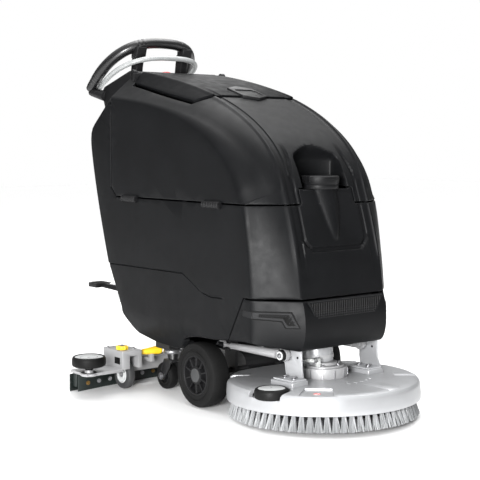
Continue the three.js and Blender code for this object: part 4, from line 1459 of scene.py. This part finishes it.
HINGE_Z, HINGE_RADIUS, HINGE_RING = 577, 9.6, 11


def build_fittings():
    """The hinges, filler cap, lid grip, grille, vents and pedal."""
    build_tank_hinges()
    for side in SIDES:
        node = f"lid_hinge_{side}"
        link = [("wheel_core", loop_plate(*limits(node)))]
        piece(f"{node}_finished", "recovery_tank", link, [node])
    build_cap()
    build_lid_grip()
    build_front_grille()
    for side, hand in SIDES.items():
        build_bumper_vent(side, hand)
    build_pedal()


def build_tank_hinges():
    """The two ringed hinge barrels under the recovery tank."""
    r, out = HINGE_RADIUS, HINGE_RING
    ring = [(-2.6, 7), (-2.6, r), (-1.6, out), (1.6, out), (2.6, r), (2.6, 7)]
    for end in ("front", "rear"):
        node = f"tank_hinge_{end}"
        low, high = limits(node)
        z, y = HINGE_Z, (low.y + 8.5)
        shapes = [rod((low.x, y, z), (high.x, y, z), r, sides=28, rounding=1.4)]
        for i in range(7):
            x = low.x + 5 + i * (high.x - low.x - 10) / 6
            shapes.append(turned(ring, (x, y, z), (1, 0, 0), 24))
        shapes.append(block((low.x + 4, y, z - 10), (high.x - 4, y + 8, z - 4), 1.5))
        piece(f"{node}_finished", "chassis", [("black_plastic", merged(*shapes))], [node])


def build_pedal():
    """The lifting pedal with its treads, and the bracket it hangs from."""
    node = "lift_pedal"
    low, high = limits(node)
    treads = []
    for i in range(7):
        x = low.x + 8 + 9 * i
        treads.append(block((x, low.y + 5, high.z - 1.4), (x + 4, high.y - 5, high.z + 1.0), 0.8, 1))
    parts = [("black_plastic", copy_of(node, 2.4, 30, 3)), ("black_rubber", merged(*treads))]
    piece(f"{node}_finished", node, parts, [node])
    node = "pedal_bracket"
    low, high = limits(node)
    screw = bolt((-716, low.y, 284), (0, -1, 0), 5.5, 3.5)
    parts = [("clear_plastic", copy_of(node, 1.2, 30, 2)), ("steel", screw)]
    piece(f"{node}_finished", "chassis", parts, [node])


def arch(x0, x1, foot, top, steps):
    """The outline of an upright plate or slot with a round top."""
    r, c = (x1 - x0) / 2, (x0 + x1) / 2
    turns = [math.pi * i / steps for i in range(1, steps)]
    curve = [(c - r * math.cos(a), top + r * math.sin(a)) for a in turns]
    return [(x0, foot), (x0, top), *curve, (x1, top), (x1, foot)]


def loop_plate(low, high):
    """A lid hinge link: an upright plate with a long slot."""
    x0, x1 = low.x, high.x
    y0, y1 = low.y + 6, high.y - 6
    r = (x1 - x0) / 2
    c = (x0 + x1) / 2
    s = r * 0.42
    outer = arch(x0, x1, low.z, high.z - r, 10)
    slot = arch(c - s, c + s, low.z + 8, high.z - r - 2, 8)
    plate = cut_by(prism(outer, y0, y1, "Y"), prism(slot, y0 - 9, y1 + 9, "Y"))
    back = block((x1 - 2, low.y, low.z + 4), (x1 + 8, high.y, high.z - 12), 2)
    return merged(soften(plate, 1.4, 2, 40), back)


FILLER_PLACE = Vector((-20, 0, 0))
CAP_PROFILE = [
    (619.6, 24), (619.6, 50), (622, 51), (630, 51.6), (632, 50.6), (634, 51.8), (648, 53),
    (652.5, 52.4), (655, 50), (655, 34), (653, 31), (648, 28), (640, 26),
]


def build_cap():
    """The round filler cap with its hole and finger notches, and the shelf under it."""
    c = FILLER_PLACE
    cap = turned(CAP_PROFILE, c, UP, 56)
    notches = [block((-34, s * 51 - 9, 636), (-6, s * 51 + 9, 660), 3) for s in (-1, 1)]
    neck = turned([(590, 22), (590, 31), (619.7, 31), (619.7, 22)], c, UP, 40)
    lugs = []
    for i in range(16):
        a = 2 * math.pi * i / 16 + 0.2
        if abs(math.sin(a)) < 0.93:
            spot = c + Vector((math.cos(a) * 42.6, math.sin(a) * 42.6, 0))
            foot, top = spot + Vector((0, 0, 623)), spot + Vector((0, 0, 646))
            lugs.append(rod(foot, top, 1.8, sides=8, rounding=0.5))
    parts = [("black_plastic", merged(cut_by(cap, *notches), neck, *lugs))]
    piece("fill_cap_finished", "fill_cap", parts, ["fill_cap"])
    shelf = block((-108, -91, 606), (0, 91, 618.6), 3)
    hole = rod((-20, 0, 590), (-20, 0, 640), 33, sides=40)
    piece("filler_shelf", "chassis", [("anthracite", cut_by(shelf, hole))], ())


def bumper_face(y, z, out=0.0):
    """A point on the front of the bumper in the middle facet."""
    t = (337 - z) / 137
    x = (1 - t) ** 3 * 78 + 3 * (1 - t) ** 2 * t * 99 + 3 * (1 - t) * t * t * 98 + t ** 3 * 70
    return Vector((x + out, y, z))


def build_lid_grip():
    """The dark six-sided finger grip at the front edge of the lid."""
    outline = [(-62, 0), (-40, -46), (40, -46), (62, 0), (40, 46), (-40, 46)]
    seat = Matrix.Translation((-338, 0, 889.5)) @ Matrix.Rotation(math.radians(18), 4, "Y")
    grip = placed(prism(outline, -10, 3.5, "Z", 2.5, 2), seat)
    well = [(-22, -30), (-12, -36), (34, -36), (34, 36), (-12, 36), (-22, 30)]
    hollow = placed(prism(well, 1.0, 20, "Z", 1.5, 1), seat)
    piece("lid_finger_grip", "tank_lid", [("black_plastic", cut_by(grip, hollow))], ())


def build_front_grille():
    """The perforated grille in the middle of the bumper, with its rim and bars over a near-black block of
    painted shade.
    """
    depth = bumper_face(0, 305).x
    # Painted shade: a near-black block behind the bars stands in for the shaded inside seen through the
    # perforations.
    back = prism([(-131, 328), (131, 328), (104, 283), (-104, 283)], 70, depth + 0.6, "X")
    border = [(-136, 331), (136, 331), (107, 279.5), (-107, 279.5)]
    hollow = prism([(-130, 327), (130, 327), (103, 284), (-103, 284)], 60, 120, "X")
    rim = cut_by(prism(border, 76, depth + 1.4, "X"), hollow)
    bars = []
    for z in range(287, 328, 6):
        wide = 103 + (z - 284) * 0.62
        bars.append(block((79, -wide, z - 0.9), (bumper_face(0, z).x + 1.0, wide, z + 0.9), 0.5, 1))
    face = bumper_face(0, 300).x + 1.4
    for i in range(-15, 16):
        y = i * 8.2
        foot = max(284, 284 + (abs(y) - 103) / 0.62)
        if foot < 323:
            bars.append(block((79, y - 1.1, foot), (face, y + 1.1, 327), 0.5, 1))
    parts = [
        ("painted_shade_black", back),
        ("anthracite", soften(rim, 0.8, 1, 40)),
        ("black_plastic", merged(*bars)),
    ]
    piece("front_grille_finished", "chassis", parts, ["front_grille"])


VENT_FACE = [(3, 303), (106, 303), (128, 264), (92, 264), (82, 281), (3, 286)]
# VENT_BORDER and VENT_OPENING outline the near-black sheets of painted shade round and behind the ribs.
VENT_BORDER = [(-1, 306), (108, 306), (133, 261.5), (90, 261.5), (80, 278.5), (-1, 283.5)]
VENT_OPENING = [(20, 299), (100, 299), (119, 269), (97, 269), (84, 288), (20, 290)]
VENT_FLANK = [(-48, 304), (-13, 303), (-13, 286), (-52, 289)]
SHORT_RIBS = ((98, 286), (104, 281), (104, 288), (110, 276), (100, 274))


def build_bumper_vent(side, hand):
    """The chevron vent on one chamfer of the bumper, with its ribs; its border and opening are near-black
    sheets of painted shade.
    """
    flank = Matrix.Translation((0, hand * 243, 0))
    turn = Matrix.Rotation(-hand * math.radians(41.7), 4, "Z")
    corner = Matrix.Translation((-15, hand * 243, 0)) @ turn

    def sheet(outline, out, place=corner):
        return placed(prism(outline, *sorted((hand * out, -hand * 7.0)), "Y", 0.8, 1), place)

    ribs = [sheet([(x, 291), (x + 2.6, 291), (x + 7.6, 298), (x + 5, 298)], 2.6) for x in range(22, 92, 6)]
    for x, z in SHORT_RIBS:
        ribs.append(sheet([(x, z), (x + 2.6, z), (x + 5, z + 6), (x + 2.4, z + 6)], 2.6))
    parts = [
        ("anthracite", merged(sheet(VENT_FACE, 1.6), sheet(VENT_FLANK, 0.9, flank))),
        # Painted shade: the dark border and opening are near-black sheets in place of the shaded gap and
        # recess behind the ribs.
        ("painted_shade_black", merged(sheet(VENT_BORDER, 0.8), sheet(VENT_OPENING, 1.9))),
        ("black_plastic", merged(*ribs)),
    ]
    piece(f"bumper_vent_{side}", "chassis", parts, ())


# ------------------------------------------------------------------ stage


FLOOR_SHADE = 0.92
# The surround's strength as a light fades between two heights, down to its lowest value.
FADE_FROM, FADE_TO, SURROUND_LOW = 0.10, 0.85, 0.10
SUN_POWER, SUN_ANGLE, SUN_TURN = 1.1, 60, (-16, -8, 0)
LAMPS = [
    ("top_lamp", (-0.3, 0.5, 3.2), (-0.1, 0, 0), 2.4, 80),
    ("key_lamp", (2.6, -3.3, 0.9), (0, 0, 0.35), 1.2, 300),
    ("rear_lamp", (-2.8, 1.6, 2.4), (-0.3, 0, 0.6), 1.6, 20),
]
CAMERA_PLACE = (2.60555, -2.0486, 0.74226)
CAMERA_DOWN, CAMERA_HEADING = 4.937, 51.95
LENS_LENGTH, SENSOR_WIDTH = 83.87, 36


def build_stage(sizes):
    """The pale floor, the surround, the soft lamps and the camera."""
    build_floor()
    build_surround(sizes.surround)
    build_lamps(sizes.light)
    build_camera()


def build_floor():
    """The pale floor under the machine."""
    bpy.ops.mesh.primitive_plane_add(size=30)
    floor = bpy.context.object
    floor.name = "floor"
    paint = bpy.data.materials.new("floor")
    paint.use_nodes = True
    shader = paint.node_tree.nodes["Principled BSDF"]
    shader.inputs["Base Color"].default_value = (FLOOR_SHADE, FLOOR_SHADE, FLOOR_SHADE, 1)
    shader.inputs["Roughness"].default_value = 0.55
    floor.data.materials.append(paint)


def build_surround(strength):
    """A surround that looks plain white and lights the machine mostly from above."""
    world = bpy.data.worlds.new("studio")
    world.use_nodes = True
    nodes, links = world.node_tree.nodes, world.node_tree.links
    ways = nodes.new("ShaderNodeTexCoord")
    height = nodes.new("ShaderNodeSeparateXYZ")
    links.new(ways.outputs["Generated"], height.inputs[0])
    fade = nodes.new("ShaderNodeMapRange")
    fade.interpolation_type = "SMOOTHSTEP"
    fade.inputs["From Min"].default_value = FADE_FROM
    fade.inputs["From Max"].default_value = FADE_TO
    fade.inputs["To Min"].default_value = SURROUND_LOW
    fade.inputs["To Max"].default_value = strength
    links.new(height.outputs["Z"], fade.inputs["Value"])
    seen = nodes.new("ShaderNodeMix")
    seen.inputs["B"].default_value = 1.0
    links.new(nodes.new("ShaderNodeLightPath").outputs["Is Camera Ray"], seen.inputs["Factor"])
    links.new(fade.outputs["Result"], seen.inputs["A"])
    nodes["Background"].inputs["Color"].default_value = (1, 1, 1, 1)
    links.new(seen.outputs["Result"], nodes["Background"].inputs["Strength"])
    bpy.context.scene.world = world
    bpy.context.scene.view_settings.view_transform = "Standard"


def build_lamps(strength):
    """The wide sun and the three soft lamps."""
    sun = bpy.data.lights.new("sun", "SUN")
    sun.energy = SUN_POWER
    sun.angle = math.radians(SUN_ANGLE)
    sky_light = bpy.data.objects.new("sun", sun)
    sky_light.rotation_euler = [math.radians(a) for a in SUN_TURN]
    bpy.context.scene.collection.objects.link(sky_light)
    for name, place, target, size, power in LAMPS:
        lamp = bpy.data.lights.new(name, "AREA")
        lamp.size = size
        lamp.energy = power * strength
        thing = bpy.data.objects.new(name, lamp)
        thing.location = place
        way = Vector(target) - Vector(place)
        thing.rotation_euler = way.to_track_quat("-Z", "Y").to_euler()
        bpy.context.scene.collection.objects.link(thing)


def build_camera():
    """The camera, looking slightly down at the front right of the machine."""
    lens = bpy.data.cameras.new("camera")
    lens.lens = LENS_LENGTH
    lens.sensor_width = SENSOR_WIDTH
    viewer = bpy.data.objects.new("camera", lens)
    viewer.location = CAMERA_PLACE
    viewer.rotation_euler = (math.radians(90 - CAMERA_DOWN), 0, math.radians(CAMERA_HEADING))
    bpy.context.scene.collection.objects.link(viewer)
    bpy.context.scene.camera = viewer


# ------------------------------------------------------------------ add-on


class StageSizes(bpy.types.PropertyGroup):
    light: FloatProperty(name="Light", description="Strength of the three soft lamps", default=1.0)
    surround: FloatProperty(name="Surround", description="Strength of the white surround", default=1.1)


class WheelSizes(bpy.types.PropertyGroup):
    spokes: IntProperty(name="Spokes", description="Spokes of each drive wheel", default=10, min=3)


class BrushSizes(bpy.types.PropertyGroup):
    tufts: IntProperty(name="Tufts", description="Tufts in the outer ring", default=72, min=12)
    strands: IntProperty(name="Strands", description="Strands drawn in each outer tuft", default=15, min=1)
    seed: IntProperty(name="Seed", description="Seed of the bristles' small irregularities", default=7)


class SCRUBBER_OT_finishes(bpy.types.Operator):
    """Make the finishes and paint the frame with them"""

    bl_idname = "scrubber.finishes"
    bl_label = "Finishes"

    def execute(self, context):
        make_finishes()
        return {"FINISHED"}


class SCRUBBER_OT_body(bpy.types.Operator):
    """Build the tanks, lid and bumper"""

    bl_idname = "scrubber.body"
    bl_label = "Body"

    def execute(self, context):
        build_body()
        return {"FINISHED"}


class SCRUBBER_OT_wheels(bpy.types.Operator):
    """Build the drive wheels, casters and rollers"""

    bl_idname = "scrubber.wheels"
    bl_label = "Wheels"

    def execute(self, context):
        build_wheels(context.scene.scrubber_wheels)
        return {"FINISHED"}


class SCRUBBER_OT_deck(bpy.types.Operator):
    """Build the brush deck, its motor, brackets and arms"""

    bl_idname = "scrubber.deck"
    bl_label = "Brush Deck"

    def execute(self, context):
        build_deck(context.scene.scrubber_brush)
        return {"FINISHED"}


class SCRUBBER_OT_handle(bpy.types.Operator):
    """Build the handle loop, the lever and the struts"""

    bl_idname = "scrubber.handle"
    bl_label = "Handle"

    def execute(self, context):
        build_handle()
        return {"FINISHED"}


class SCRUBBER_OT_dashboard(bpy.types.Operator):
    """Build the control housing and its buttons"""

    bl_idname = "scrubber.dashboard"
    bl_label = "Dashboard"

    def execute(self, context):
        build_dashboard()
        return {"FINISHED"}


class SCRUBBER_OT_squeegee(bpy.types.Operator):
    """Build the squeegee with its blades, knobs and grips"""

    bl_idname = "scrubber.squeegee"
    bl_label = "Squeegee"

    def execute(self, context):
        build_squeegee()
        return {"FINISHED"}


class SCRUBBER_OT_fittings(bpy.types.Operator):
    """Build the hinges, filler cap, grille, vents and pedal"""

    bl_idname = "scrubber.fittings"
    bl_label = "Fittings"

    def execute(self, context):
        build_fittings()
        return {"FINISHED"}


class SCRUBBER_OT_stage(bpy.types.Operator):
    """Set up the floor, lamps and camera"""

    bl_idname = "scrubber.stage"
    bl_label = "Stage"

    def execute(self, context):
        build_stage(context.scene.scrubber_stage)
        return {"FINISHED"}


OPERATORS = [
    SCRUBBER_OT_finishes,
    SCRUBBER_OT_body,
    SCRUBBER_OT_fittings,
    SCRUBBER_OT_handle,
    SCRUBBER_OT_dashboard,
    SCRUBBER_OT_deck,
    SCRUBBER_OT_wheels,
    SCRUBBER_OT_squeegee,
    SCRUBBER_OT_stage,
]


class SCRUBBER_PT_panel(bpy.types.Panel):
    """Lists the scrubber's building steps"""

    bl_label = "Floor Scrubber"
    bl_idname = "SCRUBBER_PT_panel"
    bl_space_type = "VIEW_3D"
    bl_region_type = "UI"
    bl_category = "Scrubber"

    def draw(self, context):
        for operator in OPERATORS:
            self.layout.operator(operator.bl_idname)


CLASSES = [StageSizes, WheelSizes, BrushSizes, *OPERATORS, SCRUBBER_PT_panel]


def register():
    for item in CLASSES:
        bpy.utils.register_class(item)
    bpy.types.Scene.scrubber_stage = PointerProperty(type=StageSizes)
    bpy.types.Scene.scrubber_wheels = PointerProperty(type=WheelSizes)
    bpy.types.Scene.scrubber_brush = PointerProperty(type=BrushSizes)


def unregister():
    del bpy.types.Scene.scrubber_brush
    del bpy.types.Scene.scrubber_wheels
    del bpy.types.Scene.scrubber_stage
    for item in reversed(CLASSES):
        bpy.utils.unregister_class(item)


def main():
    register()
    for operator in OPERATORS:
        group, step = operator.bl_idname.split(".")
        getattr(getattr(bpy.ops, group), step)()


if __name__ == "__main__":
    main()
